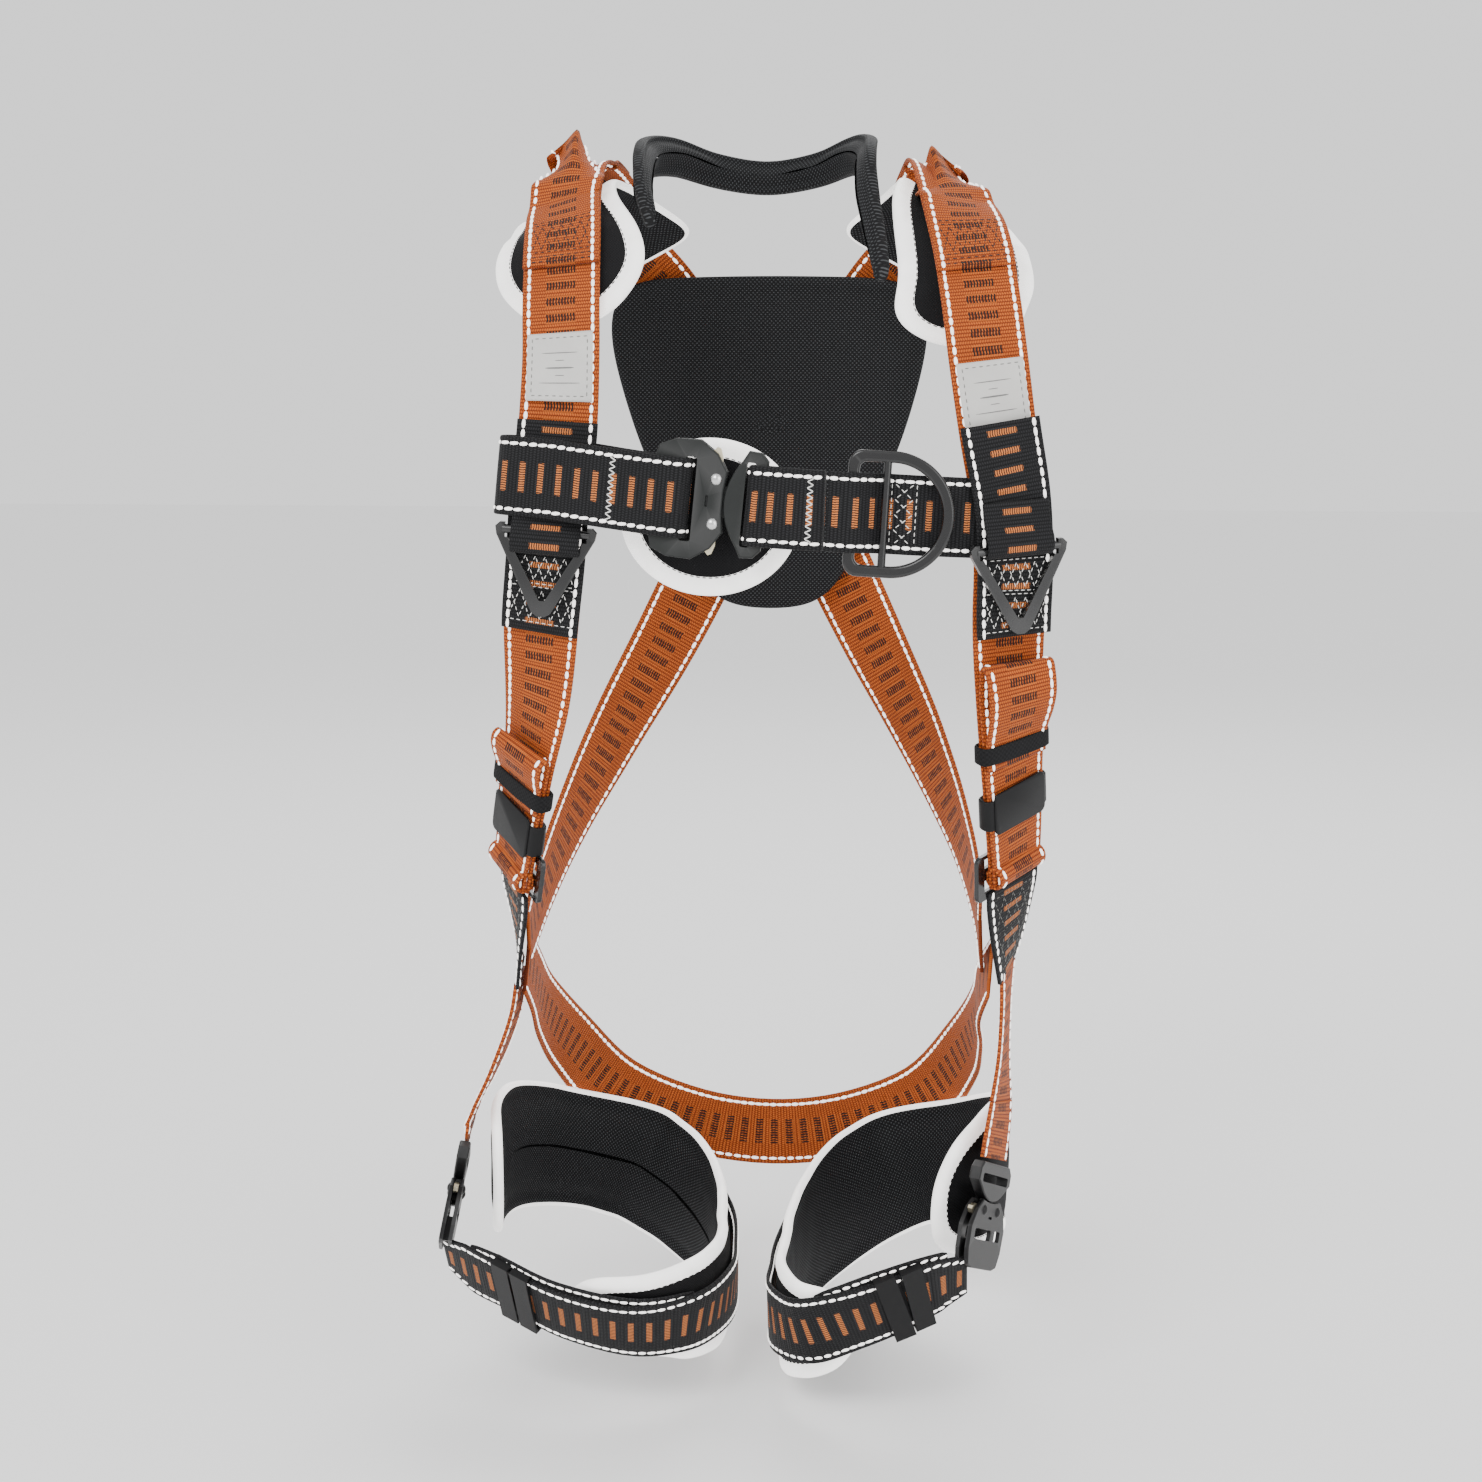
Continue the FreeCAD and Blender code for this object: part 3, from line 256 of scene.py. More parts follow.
# ---------------------------------------------------------------- materials
class Graph:
    """Small helper for node arithmetic: values are sockets or numbers."""
    def __init__(self, name):
        self.mat = bpy.data.materials.new(name)
        self.mat.use_nodes = True
        self.t = self.mat.node_tree
        for n in list(self.t.nodes): self.t.nodes.remove(n)
        self.out = self.t.nodes.new("ShaderNodeOutputMaterial")
        self.bsdf = self.t.nodes.new("ShaderNodeBsdfPrincipled")
        self.t.links.new(self.bsdf.outputs[0], self.out.inputs[0])
    def link(self, v, socket):
        if isinstance(v, (int, float)): socket.default_value = v
        elif isinstance(v, tuple): socket.default_value = v
        else: self.t.links.new(v, socket)
    def m(self, op, a, b=0.0, c=0.0, clamp=False):
        n = self.t.nodes.new("ShaderNodeMath"); n.operation = op; n.use_clamp = clamp
        self.link(a, n.inputs[0]); self.link(b, n.inputs[1]); self.link(c, n.inputs[2])
        return n.outputs[0]
    def add(self, a, b): return self.m("ADD", a, b)
    def sub(self, a, b): return self.m("SUBTRACT", a, b)
    def mul(self, a, b): return self.m("MULTIPLY", a, b)
    def fract(self, a): return self.m("FRACT", a)
    def floor(self, a): return self.m("FLOOR", a)
    def sin(self, a): return self.m("SINE", a)
    def abs(self, a): return self.m("ABSOLUTE", a)
    def pow(self, a, b): return self.m("POWER", a, b)
    def less(self, a, b): return self.m("LESS_THAN", a, b)
    def step(self, a, lo, hi):
        n = self.t.nodes.new("ShaderNodeMapRange"); n.interpolation_type = "SMOOTHSTEP"; n.clamp = True
        self.link(a, n.inputs[0]); self.link(lo, n.inputs[1]); self.link(hi, n.inputs[2])
        n.inputs[3].default_value = 0.0; n.inputs[4].default_value = 1.0
        return n.outputs[0]
    def mix(self, f, a, b):
        n = self.t.nodes.new("ShaderNodeMix"); n.data_type = "RGBA"; n.clamp_factor = True
        self.link(f, n.inputs[0])
        for v, i in ((a, 6), (b, 7)):
            if isinstance(v, tuple): n.inputs[i].default_value = (v[0], v[1], v[2], 1.0)
            else: self.t.links.new(v, n.inputs[i])
        return n.outputs[2]
    def uv(self):
        n = self.t.nodes.new("ShaderNodeUVMap"); n.uv_map = "UVMap"
        s = self.t.nodes.new("ShaderNodeSeparateXYZ"); self.t.links.new(n.outputs[0], s.inputs[0])
        return self.mul(s.outputs[0], 1000.0), self.mul(s.outputs[1], 1000.0), n.outputs[0]
    def obj(self):
        n = self.t.nodes.new("ShaderNodeTexCoord")
        return n.outputs["Object"]
    def noise(self, vec, scale, detail=3.0, rough=0.5):
        n = self.t.nodes.new("ShaderNodeTexNoise"); n.inputs["Scale"].default_value = scale
        n.inputs["Detail"].default_value = detail; n.inputs["Roughness"].default_value = rough
        self.t.links.new(vec, n.inputs["Vector"])
        return n.outputs["Fac"]
    def bump(self, height, strength, distance, normal=None):
        n = self.t.nodes.new("ShaderNodeBump"); n.inputs["Strength"].default_value = strength
        n.inputs["Distance"].default_value = distance
        self.link(height, n.inputs["Height"])
        if normal is not None: self.t.links.new(normal, n.inputs["Normal"])
        self.t.links.new(n.outputs[0], self.bsdf.inputs["Normal"])
        return n.outputs[0]
    def set(self, **k):
        for key, v in k.items():
            s = self.bsdf.inputs[key.replace("_", " ")]
            if isinstance(v, tuple) and len(v) == 3: v = (*v, 1.0)
            self.link(v, s)
        return self.mat

def webbing_material(name, light, mid, dark, mark, mark_tall, mark_pitch, bar_pitch, mark_half, ridge):
    """Ribbed webbing: transverse ribs of slanted picks, with centred blocks of short contrast bars; its colour carries
    painted shade in the grooves and painted highlight on the rib tops.
    """
    g = Graph(name)
    u, v, uvvec = g.uv()
    rib = 2.15
    vr = g.mul(v, 1.0 / rib)
    ribs = g.pow(g.abs(g.sin(g.mul(vr, math.pi))), 0.55)
    way = g.sub(g.mul(g.fract(g.mul(g.floor(vr), 0.5)), 4.0), 1.0)
    slant = g.mul(g.mul(g.fract(vr), way), 2.4)
    pick = g.add(g.mul(g.sin(g.add(g.mul(u, 2 * math.pi / 1.4), slant)), 0.5), 0.5)
    pick = g.pow(pick, 0.7)
    soft = g.noise(uvvec, 900.0, 2.0)
    wide = g.noise(uvvec, 38.0, 3.0)
    height = g.add(g.add(g.mul(ribs, 0.62), g.mul(pick, 0.38)), g.mul(soft, 0.18))
    # painted shade and highlight: the dark tone fills the low parts of the weave, the light tone its raised tops
    base = g.mix(g.step(height, 0.30, 1.02), dark, mid)
    base = g.mix(g.mul(g.step(height, 0.78, 1.12), 0.85), base, light)
    base = g.mix(g.mul(g.step(wide, 0.35, 0.75), 0.28), base, tuple(c * 0.55 for c in mid))
    # contrast bars
    fv = g.mul(g.fract(g.mul(v, 1.0 / mark_pitch)), mark_pitch)
    bar = g.less(g.abs(g.sub(fv, mark_pitch / 2)), mark_tall / 2)
    inside = g.less(g.abs(u), mark_half)
    tooth = g.step(g.abs(g.sub(g.fract(g.add(g.mul(u, 1.0 / bar_pitch), g.mul(slant, 0.05))), 0.5)), 0.34, 0.22)
    marks = g.mul(g.mul(bar, inside), tooth)
    lip = g.mul(g.less(g.abs(g.sub(g.abs(g.sub(fv, mark_pitch / 2)), mark_tall / 2 + 0.6)), 0.5), inside)
    base = g.mix(g.mul(lip, 0.35), base, light)
    colour = g.mix(marks, base, mark)
    # heavier ridges between the blocks and along the edges
    ridges = g.mul(g.pow(g.abs(g.sin(g.mul(v, math.pi / mark_pitch * 2))), 6.0), ridge)
    edge = g.step(g.abs(u), 19.6, 20.4)
    height = g.add(g.add(height, g.mul(marks, 0.35)), g.add(ridges, g.mul(edge, -0.25)))
    g.set(Base_Color=colour, Roughness=g.add(0.62, g.mul(soft, 0.25)))
    g.bsdf.inputs["Sheen Weight"].default_value = 0.06
    g.bsdf.inputs["Sheen Roughness"].default_value = 0.4
    g.bsdf.inputs["Specular IOR Level"].default_value = 0.22
    g.bump(height, 0.9, 0.00042)
    return g.mat

# painted glow: emission makes reflective thread, trim and white thread shine as if lit by a flash, though they are no
# lamp
def glow_material(name, colour, glow, rough=0.5, scale=1200.0):
    g = Graph(name)
    co = g.obj()
    n = g.noise(co, scale, 2.0)
    big = g.noise(co, 90.0, 2.0)
    c = g.mix(g.mul(g.step(big, 0.35, 0.7), 0.5), colour, tuple(x * 0.86 for x in colour))
    g.set(Base_Color=c, Roughness=rough, Emission_Color=c)
    g.bsdf.inputs["Emission Strength"].default_value = glow
    g.bump(n, 0.3, 0.0002)
    return g.mat

def cover_material(name, light, dark, pitch=0.9):
    """Closely woven nylon for pad covers, from the mesh's own UVs."""
    g = Graph(name)
    u, v, uvvec = g.uv()
    a = g.sin(g.mul(u, math.pi / pitch)); b = g.sin(g.mul(v, math.pi / pitch))
    w = g.add(g.mul(g.mul(a, b), 0.5), 0.5)
    n = g.noise(uvvec, 60.0, 4.0)
    f = g.noise(uvvec, 1500.0, 2.0)
    c = g.mix(g.add(g.mul(w, 0.6), g.mul(n, 0.4)), dark, light)
    g.set(Base_Color=c, Roughness=g.add(0.7, g.mul(f, 0.2)))
    g.bsdf.inputs["Sheen Weight"].default_value = 0.0
    g.bsdf.inputs["Specular IOR Level"].default_value = 0.2
    g.bump(g.add(w, g.mul(f, 0.5)), 0.7, 0.0003)
    return g.mat

def mesh_material(name):
    """Spacer mesh: black knit with small staggered grey knots."""
    g = Graph(name)
    u, v, uvvec = g.uv()
    p = 2.7
    row = g.floor(g.mul(v, 2.0 / p))
    uu = g.add(g.mul(u, 1.0 / p), g.mul(g.fract(g.mul(row, 0.5)), 1.0))
    du = g.mul(g.sub(g.fract(uu), 0.5), p)
    dv = g.mul(g.sub(g.fract(g.mul(v, 2.0 / p)), 0.5), p / 2)
    d = g.pow(g.add(g.mul(du, du), g.mul(g.mul(dv, dv), 1.6)), 0.5)
    dot_ = g.step(d, 0.72, 0.42)
    n = g.noise(uvvec, 1400.0, 2.0)
    c = g.mix(dot_, g.mix(n, (0.0025, 0.0025, 0.003), (0.008, 0.008, 0.009)), (0.052, 0.055, 0.058))
    g.set(Base_Color=c, Roughness=0.7)
    g.bsdf.inputs["Sheen Weight"].default_value = 0.0
    g.bsdf.inputs["Specular IOR Level"].default_value = 0.18
    g.bump(g.add(g.mul(dot_, 0.8), g.mul(n, 0.3)), 0.8, 0.0006)
    return g.mat

def coat_material(name, colour, rough, grain, metal=0.0, coat=0.0, wear=(0.3, 0.3, 0.3), amount=0.0, spec=0.5):
    """Painted or powder-coated metal: fine grain, and slightly polished high spots."""
    g = Graph(name)
    co = g.obj()
    n = g.noise(co, grain, 3.0, 0.6)
    big = g.noise(co, 55.0, 3.0, 0.6)
    geo = g.t.nodes.new("ShaderNodeNewGeometry")
    worn = g.mul(g.step(geo.outputs["Pointiness"], 0.54, 0.62), amount)
    c = g.mix(g.mul(g.step(big, 0.3, 0.75), 0.35), colour, tuple(min(1.0, x * 1.5 + 0.004) for x in colour))
    c = g.mix(worn, c, wear)
    g.set(Base_Color=c, Roughness=g.add(rough, g.mul(n, 0.14)), Metallic=metal)
    g.bsdf.inputs["Coat Weight"].default_value = coat
    if metal < 0.5: g.bsdf.inputs["Specular IOR Level"].default_value = spec
    g.bsdf.inputs["Coat Roughness"].default_value = 0.12
    g.bump(n, 0.18, 0.0002)
    return g.mat

def plastic_material(name, colour, rough=0.45, spec=0.5):
    g = Graph(name)
    co = g.obj()
    n = g.noise(co, 2600.0, 2.0); big = g.noise(co, 70.0, 3.0)
    c = g.mix(g.mul(big, 0.4), colour, tuple(min(1, x * 1.8 + 0.001) for x in colour))
    g.set(Base_Color=c, Roughness=g.add(rough, g.mul(n, 0.15)))
    g.bsdf.inputs["Specular IOR Level"].default_value = spec
    g.bump(n, 0.25, 0.00015)
    return g.mat

def label_material(name):
    """Coated woven label: pale grey, faintly creased."""
    g = Graph(name)
    u, v, uvvec = g.uv()
    w = g.mul(g.sin(g.mul(u, math.pi / 0.45)), g.sin(g.mul(v, math.pi / 0.45)))
    n = g.noise(uvvec, 45.0, 4.0)
    c = g.mix(n, (0.50, 0.49, 0.47), (0.66, 0.65, 0.62))
    g.set(Base_Color=c, Roughness=0.42)
    g.bsdf.inputs["Specular IOR Level"].default_value = 0.5
    g.bump(g.add(g.mul(w, 0.25), g.mul(n, 1.4)), 0.35, 0.0006)
    return g.mat

M = {
    # webbing tones light, mid, dark: the light tone is painted highlight on the rib tops, the dark tone painted shade
    # in the grooves
    "orange": webbing_material("webbing_orange_weave", (0.60, 0.150, 0.020), (0.38, 0.066, 0.007), (0.095, 0.013, 0.002), (0.018, 0.010, 0.008), 5.0, 10.4, 1.72, 8.7, 0.05),
    "black": webbing_material("webbing_black_weave", (0.022, 0.022, 0.024), (0.007, 0.007, 0.008), (0.0015, 0.0015, 0.002), (0.62, 0.19, 0.05), 3.4, 11.0, 1.36, 8.6, 0.45),
    # bead and trim: painted glow by emission, standing in for the flash reflected by the retroreflective thread
    "bead": glow_material("reflective_thread_painted_glow", (1.0, 0.97, 0.94), 1.3),
    "trim": glow_material("reflective_trim_painted_glow", (1.0, 0.985, 0.965), 1.0),
    # white thread: a faint painted glow by emission
    "thread_white": glow_material("thread_white", (0.80, 0.79, 0.76), 0.12),
    "thread_black": plastic_material("thread_black", (0.012, 0.010, 0.010), 0.6),
    "thread_grey": plastic_material("thread_grey", (0.16, 0.16, 0.15), 0.6),
    "cover": cover_material("pad_cover_weave", (0.009, 0.009, 0.010), (0.0025, 0.0025, 0.003)),
    "mesh": mesh_material("pad_mesh_knit"),
    "grey": coat_material("buckle_grey_coat", (0.013, 0.0145, 0.014), 0.42, 1800.0, 0.0, 0.0, (0.07, 0.07, 0.07), 0.5, 0.28),
    "black_coat": coat_material("buckle_black_coat", (0.004, 0.004, 0.0045), 0.34, 1800.0, 0.0, 0.0, (0.06, 0.06, 0.06), 0.4, 0.28),
    "gloss": coat_material("ring_black_gloss", (0.002, 0.002, 0.0025), 0.18, 700.0, 0.0, 0.25, (0.05, 0.05, 0.05), 0.4),
    "steel": coat_material("rivet_bright_steel", (0.62, 0.62, 0.62), 0.18, 900.0, 1.0),
    "brass": coat_material("release_pale_brass", (0.66, 0.60, 0.44), 0.24, 900.0, 1.0),
    "keeper": plastic_material("keeper_black_plastic", (0.0035, 0.0035, 0.004), 0.40, 0.22),
    "elastic": cover_material("elastic_black_knit", (0.012, 0.012, 0.013), (0.002, 0.002, 0.0025), 1.5),
    "label": label_material("label_coated"),
    "ink": plastic_material("label_grey_ink", (0.13, 0.13, 0.13), 0.6),
}
# ---------------------------------------------------------------- mesh building
class Piece:
    """Collects faces in millimetres, with a material and UVs for each, and makes one object of them."""
    def __init__(self, name):
        self.name, self.v, self.f, self.fm, self.uv, self.mats = name, [], [], [], [], []
    def slot(self, key):
        if key not in self.mats: self.mats.append(key)
        return self.mats.index(key)
    def patch(self, verts, faces, key, uvs=None):
        """verts: list of points; faces: index tuples; uvs: one (u, v) a vertex or one list a face, in millimetres."""
        base = len(self.v); k = self.slot(key)
        self.v.extend(verts)
        for i, f in enumerate(faces):
            self.f.append([base + j for j in f]); self.fm.append(k)
            if uvs is None: self.uv.append([(0.0, 0.0)] * len(f))
            elif isinstance(uvs[0][0], (tuple, list)): self.uv.append(uvs[i])
            else: self.uv.append([uvs[j] for j in f])
    def make(self, body=HARNESS, slot=None, replaces=(), smooth=True):
        me = bpy.data.meshes.new(self.name)
        me.from_pydata([(x / 1000, y / 1000, z / 1000) for x, y, z in self.v], [], self.f)
        for key in self.mats: me.materials.append(M[key])
        me.polygons.foreach_set("material_index", self.fm)
        me.polygons.foreach_set("use_smooth", [smooth] * len(self.f))
        layer = me.uv_layers.new(name="UVMap")
        flat = [c / 1000 for f in self.uv for uv in f for c in uv]
        layer.data.foreach_set("uv", flat)
        me.update()
        ob = bpy.data.objects.new(self.name, me)
        bpy.context.scene.collection.objects.link(ob)
        if body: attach(ob, body)
        if replaces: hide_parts(*replaces)
        return ob

def resample(made, step=3.0, closed=False):
    rows = made + ([made[0]] if closed else [])
    s = span(rows)
    total = s[-1]
    n = max(2, int(round(total / step)))
    out, j = [], 0
    for i in range(n + (0 if closed else 1)):
        v = total * i / n
        while j < len(s) - 2 and s[j + 1] < v: j += 1
        t = (v - s[j]) / max(1e-9, s[j + 1] - s[j])
        a, b = rows[j], rows[j + 1]
        along = unit(lerp(a[1], b[1], t)); o = unit(lerp(a[2], b[2], t))
        o = unit(sub(o, mul(along, dot(o, along))))
        out.append([lerp(a[0], b[0], t), along, o, cross(along, o), ()])
    return out, total

def section(w, t, n=12):
    """Rounded webbing section: (across, height) from one edge over the top to the other and back underneath."""
    r = t / 2
    top = []
    for a in (90, 60, 30): top.append((-w / 2 + r - r * math.sin(math.radians(a)), r * math.cos(math.radians(a))))
    for i in range(n + 1): top.append((-w / 2 + r + (w - 2 * r) * i / n, r))
    for a in (30, 60, 90): top.append((w / 2 - r + r * math.sin(math.radians(a)), r * math.cos(math.radians(a))))
    low = [(u, -h) for u, h in top[1:-1]][::-1]
    return top, low

class Web:
    """A strip of webbing along rows; keeps its own coordinates so that thread can be laid on it."""
    def __init__(self, made, w=WEB_W, t=WEB_T, closed=False, step=3.0, wave=0.18, seed=0, v0=0.0):
        self.rows, self.total = resample(made, step, closed)
        self.w, self.t, self.closed, self.v0 = w, t, closed, v0
        self.step = self.total / (len(self.rows) - (0 if closed else 1))
        self.wave, self.seed = wave, seed
    def width(self, s): return self.w(s) if callable(self.w) else self.w
    def squeeze(self, u, s): return 1.0
    def bulge(self, u, s):
        k = self.seed * 1.7
        return self.wave * (math.sin(s / 23.0 + k) * 0.5 + math.sin(s / 9.0 + u / 11.0 + 2 * k) * 0.35 + math.sin(u / 6.0 + s / 41.0 + k) * 0.3)
    def at(self, u, s, h=0.0):
        """Place and outward direction at u across, s along and h above the outer face."""
        n = len(self.rows)
        x = s / self.step
        if self.closed: i = int(math.floor(x)) % n; j = (i + 1) % n; f = x - math.floor(x)
        else: i = max(0, min(n - 2, int(math.floor(x)))); j = i + 1; f = max(0.0, min(1.0, x - i))
        a, b = self.rows[i], self.rows[j]
        p = lerp(a[0], b[0], f); o = unit(lerp(a[2], b[2], f)); ac = unit(lerp(a[3], b[3], f)); al = unit(lerp(a[1], b[1], f))
        side = 1 if h >= 0 else -1
        lift = self.bulge(u, s) + (self.t / 2 + h if side > 0 else -self.t / 2 + h)
        return add(add(p, mul(ac, u * self.squeeze(u, s))), mul(o, lift)), o, al, ac
    def build(self, piece, key, ends=True):
        verts, uvs_row, n = [], [], len(self.rows)
        for i, (p, al, o, ac, _) in enumerate(self.rows):
            s = i * self.step
            w = self.width(s)
            top, low = section(w, self.t)
            for u, h in top + low:
                k = max(0.0, 1 - max(0, abs(u) - (w / 2 - 2)) / 2) if h == 0 else 1.0
                q = add(add(p, mul(ac, u * self.squeeze(u, s))), mul(o, h + self.bulge(u, s)))
                verts.append(q)
        m = len(top) + len(low)
        nt = len(top)
        su = [u for u, h in top + low]
        faces, uvs = [], []
        for i in range(n if self.closed else n - 1):
            a, b = i * m, ((i + 1) % n) * m
            va, vb = self.v0 + i * self.step, self.v0 + (i + 1) * self.step
            for j in range(m):
                k = (j + 1) % m
                faces.append((a + j, b + j, b + k, a + k))
                uvs.append([(su[j], va), (su[j], vb), (su[k], vb), (su[k], va)])
        if not self.closed and ends:
            for base, flip in ((0, 0), ((n - 1) * m, 1)):
                ring = [base + j for j in range(m)]
                va = self.v0 + (0 if not flip else self.total)
                q = [(su[j], va) for j in range(m)]
                if not flip: faces.append(tuple(ring)); uvs.append(q)
                else: faces.append(tuple(ring[::-1])); uvs.append(q[::-1])
        piece.patch(verts, faces, key, uvs)
    def beads(self, piece, key="bead", s0=0.0, s1=None, inset=3.9, sides=(1, -1), pitch=5.6, size=(5.5, 2.2, 0.8), edges=(-1, 1)):
        s1 = self.total if s1 is None else s1
        n = int((s1 - s0) / pitch)
        if n < 1: return
        pitch = (s1 - s0) / n
        for sd in sides:
            for e in edges:
                for i in range(n):
                    s = s0 + pitch * (i + 0.5)
                    u = e * (self.width(s) / 2 - inset)
                    k = 1 + 0.10 * math.sin(s * 1.9 + e)
                    bead(piece, self, u, s, sd, size[0] * k, size[1] * (2 - k), size[2], key)

_ball = None
def unit_ball():
    global _ball
    if _ball is None:
        vs, fs = [], []
        R_, S_ = 8, 4
        for j in range(S_ + 1):
            a = math.pi / 2 * j / S_
            for i in range(R_):
                b = 2 * math.pi * i / R_
                vs.append((math.cos(b) * math.cos(a), math.sin(b) * math.cos(a), math.sin(a)) if j < S_ else (0, 0, 1.0))
                if j == S_: break
        for j in range(S_ - 1):
            for i in range(R_):
                k = (i + 1) % R_
                fs.append((j * R_ + i, j * R_ + k, (j + 1) * R_ + k, (j + 1) * R_ + i))
        tip = S_ * R_
        for i in range(R_): fs.append(((S_ - 1) * R_ + i, (S_ - 1) * R_ + (i + 1) % R_, tip))
        fs.append(tuple(range(R_))[::-1])
        _ball = (vs, fs)
    return _ball

def bead(piece, web, u, s, side, ln, wd, ht, key):
    vs, fs = unit_ball()
    p, o, al, ac = web.at(u, s, 0.0 if side > 0 else -1e-9)
    up = mul(o, side)
    pts = []
    for x, y, z in vs:
        sq = math.copysign(abs(x) ** 0.8, x)
        pts.append(add(add(add(p, mul(al, sq * ln / 2)), mul(ac, y * wd / 2 * (1.0 if side > 0 else -1.0))), mul(up, z * ht - 0.15)))
    piece.patch(pts, fs, key)

def thread(piece, web, path, key, dash=2.6, gap=1.3, r=0.30, side=1, h=0.0):
    """Sewn thread: separate stitches along a path of (across, along) points on a web."""
    pts = [(float(a), float(b)) for a, b in path]
    for (u0, s0), (u1, s1) in zip(pts, pts[1:]):
        d = math.hypot(u1 - u0, s1 - s0)
        n = max(1, int(round(d / (dash + gap))))
        for i in range(n):
            f0, f1 = i / n, (i + dash / (dash + gap)) / n
            a = web.at(u0 + (u1 - u0) * f0, s0 + (s1 - s0) * f0, h if side > 0 else -h - 1e-9)
            b = web.at(u0 + (u1 - u0) * f1, s0 + (s1 - s0) * f1, h if side > 0 else -h - 1e-9)
            stitch(piece, a[0], b[0], mul(a[1], side), r, key)

def stitch(piece, a, b, out, r, key):
    """One stitch: a short round-backed bar whose ends dip into the cloth."""
    al = sub(b, a); L_ = length(al)
    if L_ < 0.2: return
    al = unit(al); out = unit(sub(out, mul(al, dot(out, al)))); ac = cross(al, out)
    pts, fs = [], []
    prof = [(-1, -0.4), (-0.75, 0.55), (0, 0.95), (0.75, 0.55), (1, -0.4)]
    ks = [(0.0, 0.25, -0.5), (0.14, 0.85, 0.0), (0.5, 1.0, 0.12), (0.86, 0.85, 0.0), (1.0, 0.25, -0.5)]
    for t, k, dz in ks:
        c = lerp(a, b, t)
        for x, y in prof:
            pts.append(add(add(c, mul(ac, x * r * k)), mul(out, (y * k + dz) * r)))
    for i in range(len(ks) - 1):
        for j in range(4):
            fs.append((i * 5 + j, i * 5 + j + 1, (i + 1) * 5 + j + 1, (i + 1) * 5 + j))
        fs.append((i * 5 + 4, i * 5, (i + 1) * 5, (i + 1) * 5 + 4))
    fs.append((0, 4, 3, 2, 1)); e = (len(ks) - 1) * 5
    fs.append((e, e + 1, e + 2, e + 3, e + 4))
    piece.patch(pts, fs, key)

def zigzag(piece, web, s, key="thread_white", half=19.5, amp=1.9, pitch=1.7, r=0.38, side=1):
    n = int(2 * half / pitch)
    pts = [(-half + 2 * half * i / n, s + (amp if i % 2 else -amp)) for i in range(n + 1)]
    thread(piece, web, pts, key, dash=9.0, gap=0.3, r=r, side=side)

def box_stitch(piece, web, s0, s1, half, key, cells=2, side=1, r=0.30):
    """A bar of stitches across at each end and rows of crosses between."""
    thread(piece, web, [(-half, s0), (half, s0)], key, side=side, r=r)
    thread(piece, web, [(-half, s1), (half, s1)], key, side=side, r=r)
    n = cells * 2
    up = [(-half + 2 * half * i / n, s0 + 2 if i % 2 else s1 - 2) for i in range(n + 1)]
    dn = [(-half + 2 * half * i / n, s1 - 2 if i % 2 else s0 + 2) for i in range(n + 1)]
    thread(piece, web, up, key, side=side, r=r); thread(piece, web, dn, key, side=side, r=r)
# ---------------------------------------------------------------- routes shared with the frame
def shoulder_route(side):
    layer = 8.2 if side < 0 else 11.0
    back = [on_back(side, 14, 27, layer), on_back(side, 26, 54, layer), on_back(side, 45, 86, 8.6),
            on_back(side, 70, 122, 8.6)]
    return frames(back + shoulder_top(side) + (FRONT_R if side < 0 else FRONT_L), 6)

def lifted(rows, height):
    out = []
    for m in rows:
        h = height if not isinstance(height, list) else table(height, m[0][2])
        out.append([add(m[0], mul(m[2], h)), m[1], m[2], m[3], m[4]])
    for i, m in enumerate(out):
        a, b = out[max(0, i - 1)][0], out[min(len(out) - 1, i + 1)][0]
        m[1] = unit(sub(b, a)); m[2] = unit(sub(m[2], mul(m[1], dot(m[2], m[1])))); m[3] = cross(m[1], m[2])
    return out

def heights(rows):
    """A function from height z to running length, on the front of the body."""
    s = span(rows)
    def at(z):
        for i in range(len(rows) - 1, 0, -1):
            a, b = rows[i - 1][0][2], rows[i][0][2]
            if a >= z >= b and rows[i][0][1] < 0: return s[i - 1] + (s[i] - s[i - 1]) * (a - z) / (a - b)
        return s[-1]
    return at

def along_front(side, z0, z1):
    rows = shoulder[side]
    at = heights(rows)
    return part_of(rows, at(z0), at(z1))

shoulder = {side: shoulder_route(side) for side in (R, L)}
NAME = {R: "right", L: "left"}

# ---------------------------------------------------------------- orange webbing
def simple_web(name, rows, key="orange", w=WEB_W, t=WEB_T, replaces=None, beads=True, seed=0, body=HARNESS, slot=None, v0=0.0, finish=True, bead_span=None, wave=0.18, sides=(1, -1), step=3.0):
    piece = Piece(name + "_cloth")
    web_ = Web(rows, w, t, seed=seed, v0=v0, wave=wave, step=step)
    web_.build(piece, key)
    if beads:
        a, b = bead_span or (0.0, web_.total)
        web_.beads(piece, s0=a, s1=b, sides=sides)
    if finish:
        piece.make(body, slot or SLOT[name], (name,) if replaces is None else replaces)
    return piece, web_

webs = {}
for side in (R, L):
    nm = NAME[side]
    rows = shoulder[side]
    simple_web("shoulder_strap_" + nm, rows, seed=1 + side)

